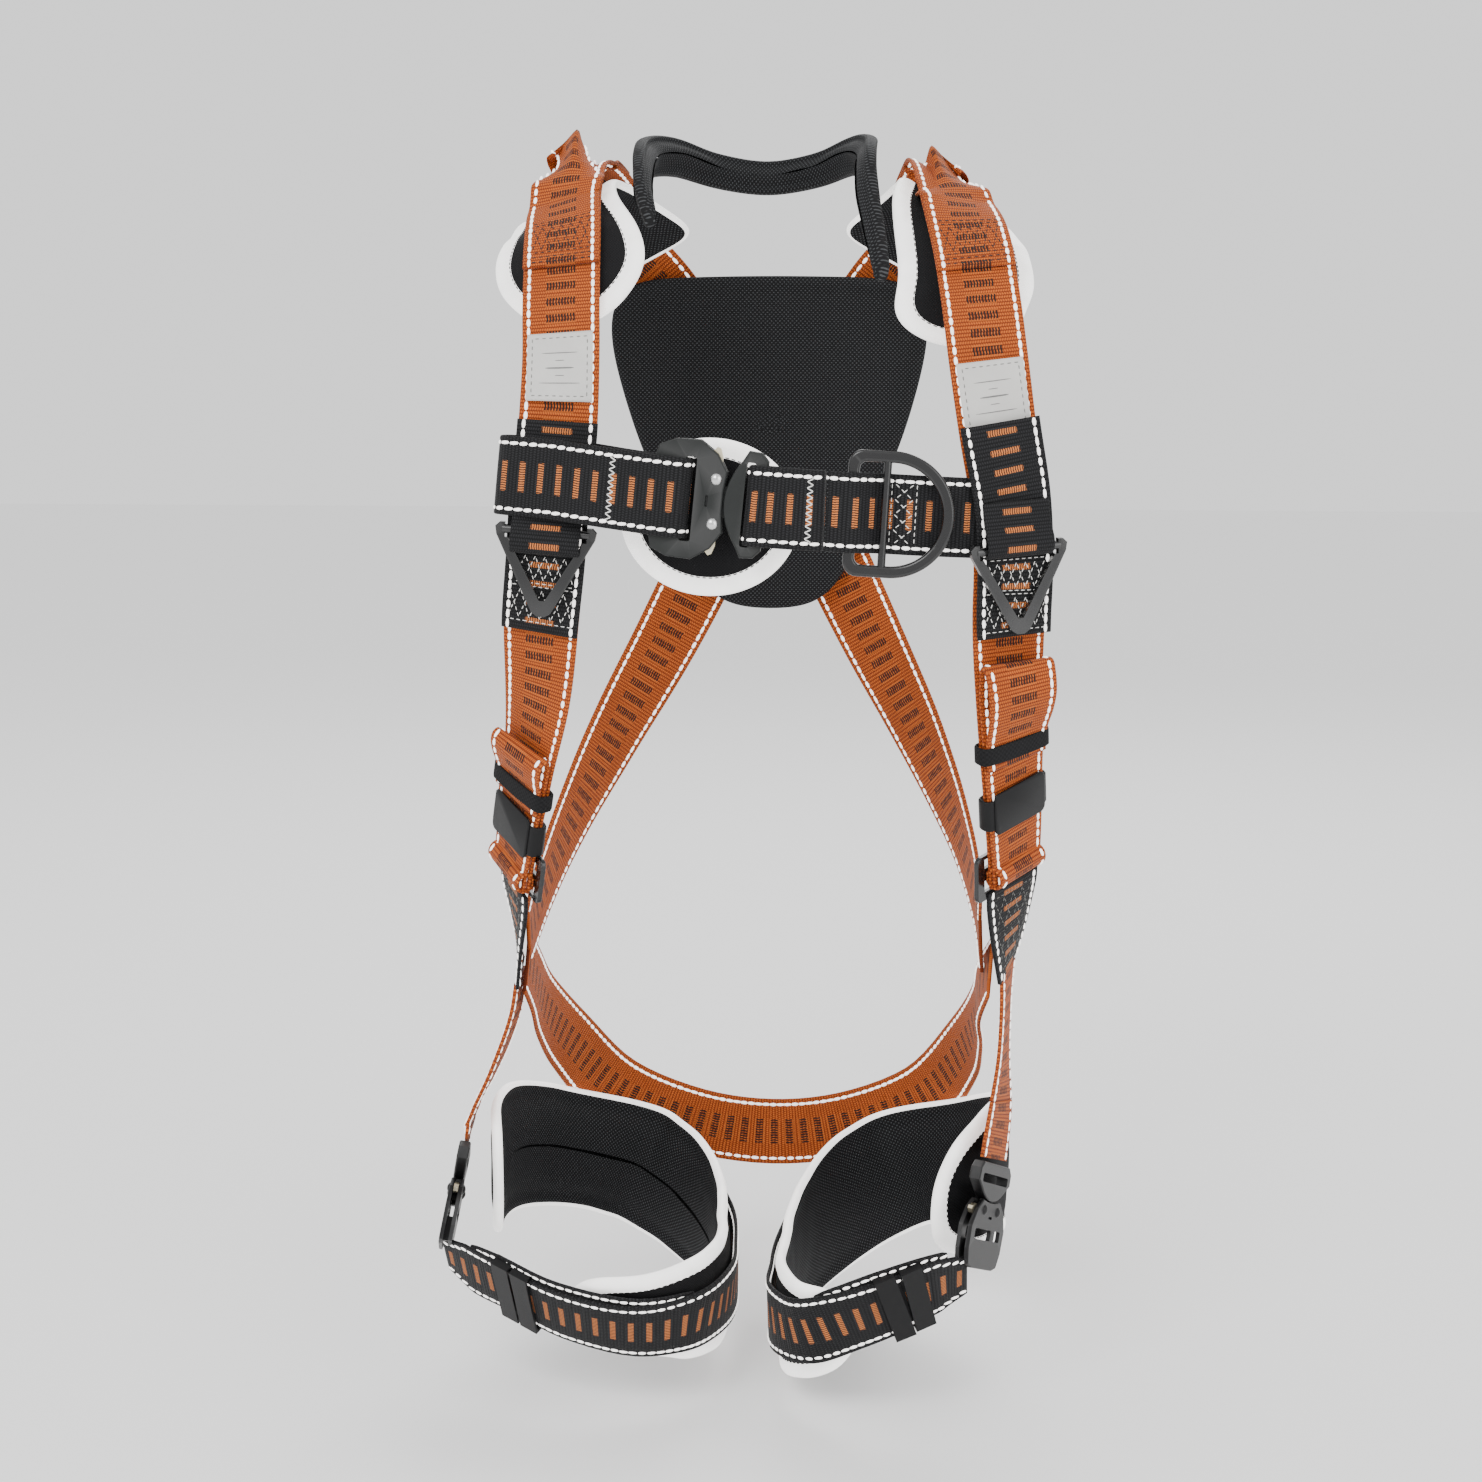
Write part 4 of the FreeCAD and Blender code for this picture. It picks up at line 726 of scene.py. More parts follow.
def back_route(side):
    layer = 8.2 if side < 0 else 11.0
    return frames([on_back(side, 14, 7, layer), on_back(side, 25, -18, layer), on_back(side, 42, -52, 8.8),
                   (side * 68, 104, -104) + facing(side, 160, 4),
                   (side * 102, 82, -168) + facing(side, 137, 6),
                   (side * 127, 48, -222) + facing(side, 112, 4),
                   (side * 138.5, 8, -258) + facing(side, 95, 0),
                   (side * 140.3, -28, -276) + facing(side, 84, 0)], 5)
for side in (R, L):
    simple_web("back_strap_" + NAME[side], back_route(side), seed=4 + side)
seat = frames([
    (-141.6, -27, -292) + facing(R, 88, 0), (-140.0, -4, -312) + facing(R, 90, 0), (-139.5, 26, -336) + facing(R, 100, 0), (-130, 70, -372) + facing(R, 122, 2),
    (-103, 108, -416) + facing(R, 148, -2), (-52, 126, -442) + facing(R, 168, -4), (0, 131, -450) + (0.0, 0.99, -0.14),
    (52, 126, -442) + facing(L, 168, -4), (103, 108, -416) + facing(L, 148, -2), (130, 70, -372) + facing(L, 122, 2),
    (139.5, 26, -336) + facing(L, 100, 0), (140.0, -4, -312) + facing(L, 90, 0), (146.5, -27, -290) + facing(L, 84, 0)], 5)
simple_web("seat_strap", seat, seed=7)
hip = {R: frames(HIP_R, 6), L: frames(HIP_L, 6)}
for side, top, low in ((R, HIP_R, DROP_R), (L, HIP_L, DROP_L)):
    nm = NAME[side]
    first = top[0]; above = (first[0] + (0.6 if side < 0 else 0.2), first[1] - 3.0, first[2] + 8.0) + tuple(first[3:])
    piece, w_ = simple_web("hip_patch_" + nm, frames([above] + list(top), 6), "black", seed=9, finish=False)
    n = 2
    for k in range(n):
        a = 6 + (w_.total - 12) * k / n
        box_stitch(piece, w_, a, a + (w_.total - 12) / n, 16.5, "thread_grey", cells=2, r=0.26)
    piece.make(HARNESS, SLOT["hip_patch_" + nm], ("hip_patch_" + nm,))
    full = frames(low, 6)
    s = span(full)
    start = min(v for v, m in zip(s, full) if m[0][2] < top[-1][2] - 0.2)
    drop = part_of(full, start, s[-1])
    total = span(drop)[-1]
    simple_web("drop_strap_" + nm, part_of(drop, 0, total - 36), seed=11)
    piece, w_ = simple_web("drop_lead_" + nm, part_of(drop, total - 35.7, total), seed=11, v0=total - 36, finish=False)
    ob = piece.make(None, SLOT["drop_lead_" + nm], ("drop_lead_" + nm,))
    a, b = drop[-1][0], part_of(drop, total - 35, total)[0][0]
    tuple(c / 1000 for c in a)
    tuple(c / 1000 for c in b)
    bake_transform(ob)

# ---------------------------------------------------------------- leg webbing
LEG_R = [
    (-190.3, -53, -475.5) + facing(R, 72, -12), (-172.0, -65, -481.5) + facing(R, 53, -20), (-149.8, -77, -487.0) + facing(R, 38, -26),
    (-112.0, -96, -496.5) + facing(R, 13, -30), (-64.0, -103, -502.5) + facing(R, -13, -28), (-31, -90, -500.0) + facing(R, -45, -18),
    (-14.5, -58, -498) + facing(R, -76, -8), (-12.0, -12, -498) + facing(R, -92, 0), (-22, 44, -492) + facing(R, -122, 0),
    (-55, 88, -476) + facing(R, -158, -4), (-92, 105.5, -462) + facing(R, -176, -8)]
LEG_L = [
    (134.0, -81.2, -468.0) + facing(L, 57, -12), (122.0, -88.0, -471.0) + facing(L, 43, -18), (105.5, -95.0, -476.5) + facing(L, 29, -20), (86.5, -99.5, -484.0) + facing(L, 14, -20),
    (61.8, -102, -492.5) + facing(L, -5, -20), (35.5, -96, -501.5) + facing(L, -31, -14), (15.5, -70, -504) + facing(L, -62, -4),
    (12.0, -30, -505) + facing(L, -86, 0), (14.0, 8, -501) + facing(L, -100, 0), (26, 50, -492) + facing(L, -128, 0),
    (57, 90, -476) + facing(L, -160, -4), (92, 105.5, -462) + facing(L, -176, -8)]
leg = {R: frames(LEG_R, 5), L: frames(LEG_L, 5)}
for side in (R, L):
    piece, w_ = simple_web("leg_strap_" + NAME[side], leg[side], "black", w=lambda s: table([(0, 30), (20, WEB_W)], s), seed=13 + side, finish=False)
    # the adjusting tail, lying behind and a little above the leg web
    a_, b_ = (24.0, 176.0) if side < 0 else (12.0, 92.0)
    under = part_of(leg[side], a_, b_)
    n_ = len(under)
    moved = []
    for i, m in enumerate(under):
        k = math.sin(math.pi * min(1.0, max(0.0, i / (n_ - 1.0)))) ** 0.7
        up_ = m[3] if m[3][2] > 0 else mul(m[3], -1)
        moved.append([add(add(m[0], mul(m[2], -2.3)), mul(up_, 6.2 * k)), m[1], m[2], m[3], m[4]])
    tl = Web(moved, WEB_W - 1, 1.8, seed=23, wave=0.2)
    tl.build(piece, "black"); tl.beads(piece, sides=(1,), inset=3.0)
    piece.make(HARNESS, SLOT["leg_strap_" + NAME[side]], ("leg_strap_" + NAME[side],))

# ---------------------------------------------------------------- chest webbing
BUCKLE_AT = (-8.5, -134.0, 0.2)
BUCKLE_EX = unit((1.0, 0.0, -0.10))
def right_z(x): return table([(-136, 14.2), (-107, 12.2), (-70, 7.4), (-26, 2.0)], x)
def left_z(x): return table([(4, -1.3), (40, -4.0), (88, -6.8), (124, -8.8), (165, -11.0)], x)
loop_rows = [(-32, -140.6), (-50, -140.2), (-66, -136.6), (-90, -131.4), (-112, -126.4), (-128, -123.6), (-136.0, -120.2), (-138.6, -114.6),
             (-136.0, -109.6), (-129, -107.0), (-112, -108.4), (-92, -109.6), (-80, -112.8), (-66, -120.6), (-50, -127.0), (-32, -127.4), (-28.9, -128.9), (-27.7, -134.0), (-28.5, -139.4)]
lead_rows = [(13, -140.6), (22, -140.0), (46, -135.4), (48.4, -133.6), (46, -131.8), (22, -128.2), (12, -127.8), (6.6, -129.0), (5.6, -134.0), (6.2, -138.4), (8.4, -140.2)]
def band_rows(points, z_of, lean_of, steps=4):
    pts = points[-2:] + points + points[:2]
    rows = spline([(x, y, 0.0) for x, y in pts], steps)[2 * steps:-2 * steps - (steps - 1)]
    n = len(rows); out = []
    for i in range(n):
        a, b = rows[i - 1], rows[(i + 1) % n]
        d = unit((b[0] - a[0], b[1] - a[1], 0))
        o = (d[1], -d[0], 0.0)
        if i == 0 and dot(o, (0, -1, 0)) < 0: pass
        p = (rows[i][0], rows[i][1], z_of(rows[i][0]))
        up = unit((lean_of(rows[i][0]), 0.0, 1.0))
        out.append([p, d, o, up, ()])
    return out
class Band(Web):
    """A closed band: across is up, out is away from the loop's inside."""
    def __init__(self, rows, **k):
        self.raw = rows
        super().__init__(rows, closed=True, **k)
        n = len(self.rows)
        fixed = []
        s = span(rows + [rows[0]])
        for i in range(n):
            v = self.total * i / n
            j = 0
            while j < len(rows) - 1 and s[j + 1] < v: j += 1
            t = (v - s[j]) / max(1e-9, s[j + 1] - s[j])
            a, b = rows[j], rows[(j + 1) % len(rows)]
            o = unit(lerp(a[2], b[2], t)); up = unit(lerp(a[3], b[3], t)); al = unit(lerp(a[1], b[1], t))
            fixed.append([lerp(a[0], b[0], t), al, o, up, ()])
        self.rows = fixed
def turn_out(rows):
    """Makes a closed band's normals look outward."""
    cx = sum(r[0][0] for r in rows) / len(rows); cy = sum(r[0][1] for r in rows) / len(rows)
    r = max(rows, key=lambda r: -r[0][1])
    flip = r[2][1] > 0
    return [[p, d, mul(o, -1) if flip else o, up, e] for p, d, o, up, e in rows]

piece = Piece("chest_strap_right_cloth")
rows = turn_out(band_rows(loop_rows, right_z, lambda x: 0.10))
cs = Band(rows, step=2.5, seed=3, wave=0.14)
cs.build(piece, "black")
cs.beads(piece, sides=(1,))
def s_of_x(band, x, front=True):
    best = min(range(len(band.rows)), key=lambda i: abs(band.rows[i][0][0] - x) + (0 if (band.rows[i][0][1] < -134 + (abs(x + 28) * 0.16 if x < -28 else 0)) == front else 1000))
    return best * band.step
zigzag(piece, cs, s_of_x(cs, -72))
piece.make(HARNESS, SLOT["chest_strap_right"], ("chest_strap_right",))

piece = Piece("chest_lead_left_cloth")
rows = turn_out(band_rows(lead_rows, left_z, lambda x: table([(10, 0.10), (48, 0.04)], x)))
cl = Band(rows, step=2.5, seed=5, wave=0.10)
cl.build(piece, "black")
cl.beads(piece, sides=(1,))
zigzag(piece, cl, s_of_x(cl, 40))
ob = piece.make(None, SLOT["chest_lead_left"], ("chest_lead_left",))
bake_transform(ob)

def chest_row(x, y, nx=0.0): return (x, y, left_z(x)) + unit((nx, -1.0, 0.0))
chest_left = frames([chest_row(50.2, -133.4), chest_row(57, -134.2), chest_row(63.5, -134.0), chest_row(70, -129.8, 0.4), chest_row(76, -125.4, 0.3),
                     chest_row(83, -123.6), chest_row(94, -123.2), chest_row(106, -121.4, 0.1), chest_row(124, -117.2, 0.25),
                     chest_row(140, -111.4, 0.33), chest_row(162, -103.5, 0.36)], 6)
piece, w_ = simple_web("chest_strap_left", chest_left, "black", seed=6, v0=45, finish=False, wave=0.1, step=2.0)
box_stitch(piece, w_, 38, 52, 17, "thread_white", cells=2)
piece.make(HARNESS, SLOT["chest_strap_left"], ("chest_strap_left",))

# ---------------------------------------------------------------- patches that carry the triangle rings
for side, base, bar_z in ((R, 2.6, -21.5), (L, 7.5, -23.5)):
    nm = NAME[side]
    lower = lifted(along_front(side, 44, -76), base)
    piece = Piece("chest_patch_%s_cloth" % nm)
    pw = Web(lower, 46, WEB_T, seed=8 + side, wave=0.15)
    pw.build(piece, "black")
    pw.beads(piece, sides=(1,))
    at = heights(lower)
    a = at(bar_z)
    box_stitch(piece, pw, a + 9, a + 27, 17, "thread_white", cells=3)
    box_stitch(piece, pw, a + 29, a + 50, 19, "thread_white", cells=3)
    # the fold that holds the ring's bar
    k = min(range(len(lower)), key=lambda i: abs(lower[i][0][2] - bar_z))
    p, al, o, ac, _ = lower[k]
    c = add(p, mul(o, 1.1 + 0.5 + 2.6))
    ring_rows = []
    for z, h in ((24, 1.3), (17, 1.9), (11, 3.4), (6.5, 6.2), (3.4, 8.2), (0, 8.9), (-3.6, 8.2), (-6.0, 5.6), (-6.6, 3.0), (-6.9, 1.2)):
        q = add(add(p, mul(al, -z)), mul(o, h + 1.1))
        ring_rows.append(q)
    made = []
    for i, q in enumerate(ring_rows):
        a_, b_ = ring_rows[max(0, i - 1)], ring_rows[min(len(ring_rows) - 1, i + 1)]
        d = unit(sub(b_, a_)); oo = unit(sub(o, mul(d, dot(o, d)))) if abs(dot(o, d)) < 0.98 else unit(mul(al, 1.0))
        if i > 6: oo = unit(add(mul(o, 0.5), mul(al, 1.0))); oo = unit(sub(oo, mul(d, dot(oo, d))))
        made.append([q, d, oo, ac, ()])
    fold = Web(made, 40, 1.8, seed=2, wave=0.05, step=1.5)
    fold.build(piece, "black")
    piece.make(HARNESS, SLOT["chest_patch_" + nm], ("chest_patch_" + nm,))
# ---------------------------------------------------------------- pads
def dense(rows, n=5):
    flat = spline([tuple(a) + tuple(b) + tuple(c) + (d,) for a, b, c, d in rows], n)
    return [(r[0:3], r[3:6], unit(r[6:9]), r[9]) for r in flat]

class Sheet:
    """A pad's middle surface from stations of (one edge, other edge, outward normal, bow)."""
    def __init__(self, rows):
        self.rows = dense(rows)
        mids = [lerp(a, b, 0.5) for a, b, n, c in self.rows]
        self.s = [0.0]
        for p, q in zip(mids, mids[1:]): self.s.append(self.s[-1] + length(sub(q, p)))
        self.total = self.s[-1]
        self.w = [length(sub(b, a)) for a, b, n, c in self.rows]
    def find(self, s):
        s = max(0.0, min(self.total, s)); i = 0
        lo, hi = 0, len(self.s) - 1
        while hi - lo > 1:
            m = (lo + hi) // 2
            if self.s[m] <= s: lo = m
            else: hi = m
        return lo, (s - self.s[lo]) / max(1e-9, self.s[hi] - self.s[lo])
    def wide(self, s):
        i, f = self.find(s); return self.w[i] * (1 - f) + self.w[i + 1] * f
    def at(self, s, x):
        i, f = self.find(s)
        r0, r1 = self.rows[i], self.rows[i + 1]
        a, b, n = lerp(r0[0], r1[0], f), lerp(r0[1], r1[1], f), unit(lerp(r0[2], r1[2], f))
        c = r0[3] * (1 - f) + r1[3] * f
        w = length(sub(b, a)); t = x / w + 0.5
        k = 1 - (2 * t - 1) ** 2
        return add(lerp(a, b, t), mul(n, c * max(k, -0.2))), n
    def outline(self):
        pts = [(s, -w / 2) for s, w in zip(self.s, self.w)]
        w = self.w[-1]; m = max(2, int(w / 4))
        pts += [(self.total, -w / 2 + w * i / m) for i in range(1, m)]
        pts += [(s, w_ / 2) for s, w_ in zip(self.s, self.w)][::-1]
        w = self.w[0]; m = max(2, int(w / 4))
        pts += [(0.0, w / 2 - w * i / m) for i in range(1, m)]
        return pts

class Disc:
    def __init__(self, centre, rx, rz, out):
        self.c, self.rx, self.rz, self.n = centre, rx, rz, unit(out)
        self.total = 2 * rx
        self.ex = unit(cross(self.n, (0, 0, 1))); self.ez = cross(self.ex, self.n)
        if self.ez[2] < 0: self.ez = mul(self.ez, -1)
    def wide(self, s): return 2 * self.rz
    def at(self, s, x):
        return add(add(self.c, mul(self.ex, s - self.rx)), mul(self.ez, x)), self.n
    def outline(self):
        return [(self.rx - self.rx * math.cos(2 * math.pi * i / 80), -self.rz * math.sin(2 * math.pi * i / 80)) for i in range(80)]

def even(points, step):
    """A closed line with even spacing."""
    p = points + [points[0]]
    s = [0.0]
    for a, b in zip(p, p[1:]): s.append(s[-1] + math.hypot(b[0] - a[0], b[1] - a[1]))
    n = max(12, int(round(s[-1] / step))); out = []; j = 0
    for i in range(n):
        v = s[-1] * i / n
        while s[j + 1] < v: j += 1
        f = (v - s[j]) / max(1e-9, s[j + 1] - s[j])
        out.append((p[j][0] * (1 - f) + p[j + 1][0] * f, p[j][1] * (1 - f) + p[j + 1][1] * f))
    return out

def rounder(pts, times):
    n = len(pts)
    for _ in range(times):
        pts = [tuple(0.25 * pts[i - 1][k] + 0.5 * pts[i][k] + 0.25 * pts[(i + 1) % n][k] for k in (0, 1)) for i in range(n)]
    return pts

def puff(ob, rest, group, cap, frames_=20, pressure=4.0):
    """Blows the closed mesh up with a short Cloth run, and leaves the result in the mesh."""
    scene = bpy.context.scene
    mod = ob.modifiers.new("Cloth", "CLOTH")
    st = mod.settings
    st.quality = 5; st.mass = 0.3
    st.tension_stiffness = 18; st.compression_stiffness = 12; st.shear_stiffness = 6; st.bending_stiffness = 0.6
    st.use_pressure = True; st.uniform_pressure_force = pressure
    st.effector_weights.gravity = 0.0
    st.vertex_group_mass = group
    mod.collision_settings.use_collision = False
    mod.point_cache.frame_start = 1; mod.point_cache.frame_end = frames_
    for f in range(1, frames_ + 1): scene.frame_set(f)
    dg = bpy.context.evaluated_depsgraph_get()
    ev = ob.evaluated_get(dg)
    co = np.empty(len(rest) * 3, dtype=np.float64)
    ev.data.vertices.foreach_get("co", co); co = co.reshape(-1, 3)
    ob.modifiers.remove(mod)
    scene.frame_set(1)
    d = co - rest
    far = np.linalg.norm(d, axis=1)
    k = np.where(far > cap, cap / np.maximum(far, 1e-9), 1.0)
    co = rest + d * k[:, None]
    bad = ~np.isfinite(co).all(axis=1)
    co[bad] = rest[bad]
    ob.data.vertices.foreach_set("co", co.ravel()); ob.data.update()

def cushion(name, sheet, thick, rim=10.0, cover="cover", lining="mesh", trim="trim", round_=10, cap=0.004, slot=None, stitches=True, seams=(), step=5.0):
    pts = rounder(even(sheet.outline(), step), round_)
    pts = even(pts, step)
    n = len(pts)
    inward = []
    for i in range(n):
        a, b = pts[i - 2], pts[(i + 2) % n]
        d = (b[0] - a[0], b[1] - a[1]); l = math.hypot(*d) or 1.0
        inward.append((-d[1] / l, d[0] / l))
    mean_s = sum(p[0] for p in pts) / n
    area = sum(pts[i][0] * pts[(i + 1) % n][1] - pts[(i + 1) % n][0] * pts[i][1] for i in range(n))
    if area < 0: inward = [(-x, -y) for x, y in inward]
    inward = rounder(inward, 6)
    half = max(sheet.wide(sheet.total * f) for f in (0.3, 0.5, 0.7)) / 2
    lo, hi = min(half * 1.0, sheet.total / 2), max(sheet.total - half * 1.0, sheet.total / 2)
    insets = [0.0, rim * 0.28, rim * 0.64, rim]
    tops = [0.30, 0.66, 0.72, 0.42]
    rings = [[(p[0] + d[0] * w, p[1] + d[1] * w) for p, d in zip(pts, inward)] for w in insets]
    base = rings[-1]
    m = max(3, int((half - rim) / 6.0))
    for j in range(1, m + 1):
        f = j / m
        rings.append([(p[0] * (1 - f) + max(lo, min(hi, p[0])) * f, p[1] * (1 - f)) for p in base])
        tops.append(min(1.0, 0.62 + 0.5 * f))
    R_ = len(rings)
    verts, uvs = [], []
    rnd = random.Random(name)
    ph = [rnd.uniform(0, 6.28) for _ in range(6)]
    def ripple(s, x): return 0.28 * (math.sin(s / 11 + ph[0]) * math.sin(x / 9 + ph[1]) + 0.6 * math.sin(s / 5.3 + x / 7.1 + ph[2]))
    for side in (1, -1):
        for ring, t in zip(rings, tops):
            for s, x in ring:
                p, o = sheet.at(s, x)
                ripple_ = ripple(s, x) * (1.0 if t > 0.6 else 0.3)
                verts.append(add(p, mul(o, side * thick / 2 * t + ripple_))); uvs.append((x, s))
    faces, mats, fuv = [], [], []
    keys = [cover, lining] + ([trim] if trim else [])
    for side in (0, 1):
        b0 = side * R_ * n
        for r in range(R_ - 1):
            for i in range(n):
                k = (i + 1) % n
                q = (b0 + r * n + i, b0 + r * n + k, b0 + (r + 1) * n + k, b0 + (r + 1) * n + i)
                if side: q = q[::-1]
                faces.append(q)
                mats.append(2 if (trim and r < 3 and (side == 0 or r < 1)) else (0 if side == 0 else 1))
    for i in range(n):
        k = (i + 1) % n
        faces.append((R_ * n + i, R_ * n + k, k, i)); mats.append(2 if trim else 0)
    if area < 0: faces = [f[::-1] for f in faces]
    me = bpy.data.meshes.new(name)
    me.from_pydata([(x / 1000, y / 1000, z / 1000) for x, y, z in verts], [], faces)
    for key in keys: me.materials.append(M[key])
    me.polygons.foreach_set("material_index", mats)
    me.polygons.foreach_set("use_smooth", [True] * len(faces))
    layer = me.uv_layers.new(name="UVMap")
    layer.data.foreach_set("uv", [c / 1000 for f in faces for v in f for c in uvs[v]])
    me.update()
    ob = bpy.data.objects.new(name, me)
    bpy.context.scene.collection.objects.link(ob)
    g = ob.vertex_groups.new(name="held")
    held = [side * R_ * n + r * n + i for side in (0, 1) for r in (0, 3) for i in range(n)]
    g.add(held, 1.0, "REPLACE")
    bm = bmesh.new(); bm.from_mesh(me)
    bmesh.ops.remove_doubles(bm, verts=bm.verts, dist=0.0006)
    bmesh.ops.dissolve_degenerate(bm, edges=bm.edges, dist=0.0002)
    bmesh.ops.recalc_face_normals(bm, faces=bm.faces)
    bm.to_mesh(me); bm.free()
    rest = np.empty(len(me.vertices) * 3, dtype=np.float64)
    me.vertices.foreach_get("co", rest); rest = rest.reshape(-1, 3)
    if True: puff(ob, rest, "held", cap)
    sd = ob.modifiers.new("Soft", "SUBSURF"); sd.levels = 1; sd.render_levels = 1
    dg = bpy.context.evaluated_depsgraph_get()
    done = bpy.data.meshes.new_from_object(ob.evaluated_get(dg))
    ob.modifiers.clear(); old = ob.data; ob.data = done; bpy.data.meshes.remove(old)
    ob.vertex_groups.clear()
    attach(ob, HARNESS)
    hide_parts(name.replace("_soft", ""))
    if stitches:
        tree = BVHTree.FromPolygons([tuple(v.co) for v in done.vertices], [tuple(p.vertices) for p in done.polygons])
        def touch(s, x):
            p, o = sheet.at(s, x)
            src = Vector(add(p, mul(o, 25))) / 1000
            hit = tree.ray_cast(src, -Vector(o), 0.06)
            if hit[0] is None: return None
            return tuple(c * 1000 for c in hit[0]), tuple(hit[1])
        work = Piece(name.replace("_soft", "") + "_stitches")
        lines = [(rings[3], True)] + [(l, False) for l in seams]
        for line, closed_ in lines:
            line = even(line, 3.6) if closed_ else line
            hits = [touch(*p) for p in line]
            mm = len(hits)
            for i in range(mm if closed_ else mm - 1):
                a, b = hits[i], hits[(i + 1) % mm]
                if a is None or b is None: continue
                if dot(a[1], b[1]) < 0.5: continue
                e = lerp(a[0], b[0], 0.72)
                stitch(work, add(a[0], mul(a[1], 0.1)), add(e, mul(b[1], 0.1)), a[1], 0.32, "thread_black")
        if work.f: work.make(HARNESS, slot or SLOT[name.replace("_soft", "")])
    return ob

def mirror(rows, dx=0.0):
    return [((-a[0] + dx, a[1], a[2]), (-b[0] + dx, b[1], b[2]), (-n[0], n[1], n[2]), c) for a, b, n, c in rows]
YOKE_R = [
    ((-122, -84, 97), (-88, -90, 97), (-0.1, -0.95, 0.3), 1),
    ((-143, -67, 112), (-68, -86, 113), (-0.15, -0.88, 0.45), 2),
    ((-152, -52, 128), (-57, -75, 136), (-0.2, -0.8, 0.56), 3),
    ((-150, -36, 142), (-66, -56, 157), (-0.2, -0.7, 0.68), 3),
    ((-148, -16, 148), (-80, -30, 173), (-0.28, -0.5, 0.83), 1),
    ((-147, 10, 156), (-85, 2, 184), (-0.36, -0.1, 0.93), 1),
    ((-143, 40, 152), (-80, 34, 183), (-0.36, 0.3, 0.88), 1),
    ((-132, 64, 138), (-66, 62, 173), (-0.25, 0.65, 0.72), 1),
    ((-116, 80, 118), (-42, 84, 158), (-0.15, 0.9, 0.4), 0),
]
YOKE_L = mirror(YOKE_R, 0)
YOKE_L[0] = ((152, -76, 88), (110, -86, 84), (0.2, -0.93, 0.3), 1)
YOKE_L[1] = ((162, -62, 104), (84, -84, 102), (0.2, -0.87, 0.45), 2)
YOKE_L[2] = ((165, -48, 122), (87, -75, 125), (0.22, -0.8, 0.56), 3)
YOKE_L[3] = ((162, -34, 138), (84, -56, 151), (0.22, -0.7, 0.68), 3)
YOKE_L[4] = ((158, -16, 146), (81, -30, 172), (0.28, -0.5, 0.83), 1)
cushion("shoulder_pad_right_soft", Sheet(YOKE_R), 8.5, rim=10.5)
cushion("shoulder_pad_left_soft", Sheet(YOKE_L), 8.5, rim=10.5)
BACK = []
for z, w in ((128, 98), (100, 104), (60, 96), (20, 84), (-20, 66), (-60, 50), (-84, 34)):
    BACK.append(((-w, panel(w, z) - 1, z), (w, panel(w, z) - 1, z), (0, 1, table([(-85, -0.14), (0, 0.0), (60, 0.05), (150, 0.25)], z)), 0.0016 * w * w))
bs = Sheet(BACK)
cushion("back_pad_soft", bs, 9.0, rim=9.0, trim=None, lining="mesh", step=7.0, round_=12,
        seams=[[(s, x) for s in [12 + 3.6 * i for i in range(int((bs.total - 24) / 3.6))]] for x in (-30, 30)])
collar = []
for x, y, z, nx, ny, w in ((-57, -60, 156, 0.95, -0.45, 9), (-63, -42, 172, 0.95, -0.35, 17), (-67, -12, 190, 1, -0.1, 23), (-67, 22, 200, 0.95, -0.1, 25), (-54, 50, 202, 0.8, -0.5, 24), (-30, 72, 195, 0.4, -0.9, 22), (0, 80, 191, 0, -1, 21),
                         (30, 72, 195, -0.4, -0.9, 22), (53, 50, 202, -0.8, -0.5, 24), (64, 22, 200, -0.95, -0.1, 25), (65, -12, 189, -1, -0.1, 24), (68, -38, 167, -0.95, -0.3, 21), (74, -62, 141, -0.9, -0.45, 15), (78, -76, 123, -0.85, -0.5, 8)):
    collar.append(((x, y, z - w * 0.5), (x - nx * 4, y - ny * 4, z + w * 0.5), (nx, ny, 0.2), 2))
cushion("neck_collar_soft", Sheet(collar), 11.0, rim=4.0, trim=None, cover="mesh", lining="mesh", round_=3, stitches=False, step=4.0, cap=0.0012)
cushion("chest_pad_soft", Disc((-17.5, -115.8, -9.5), 51.3, 45.0, (0, -1, 0)), 6.5, rim=10.5, round_=0, step=4.0)
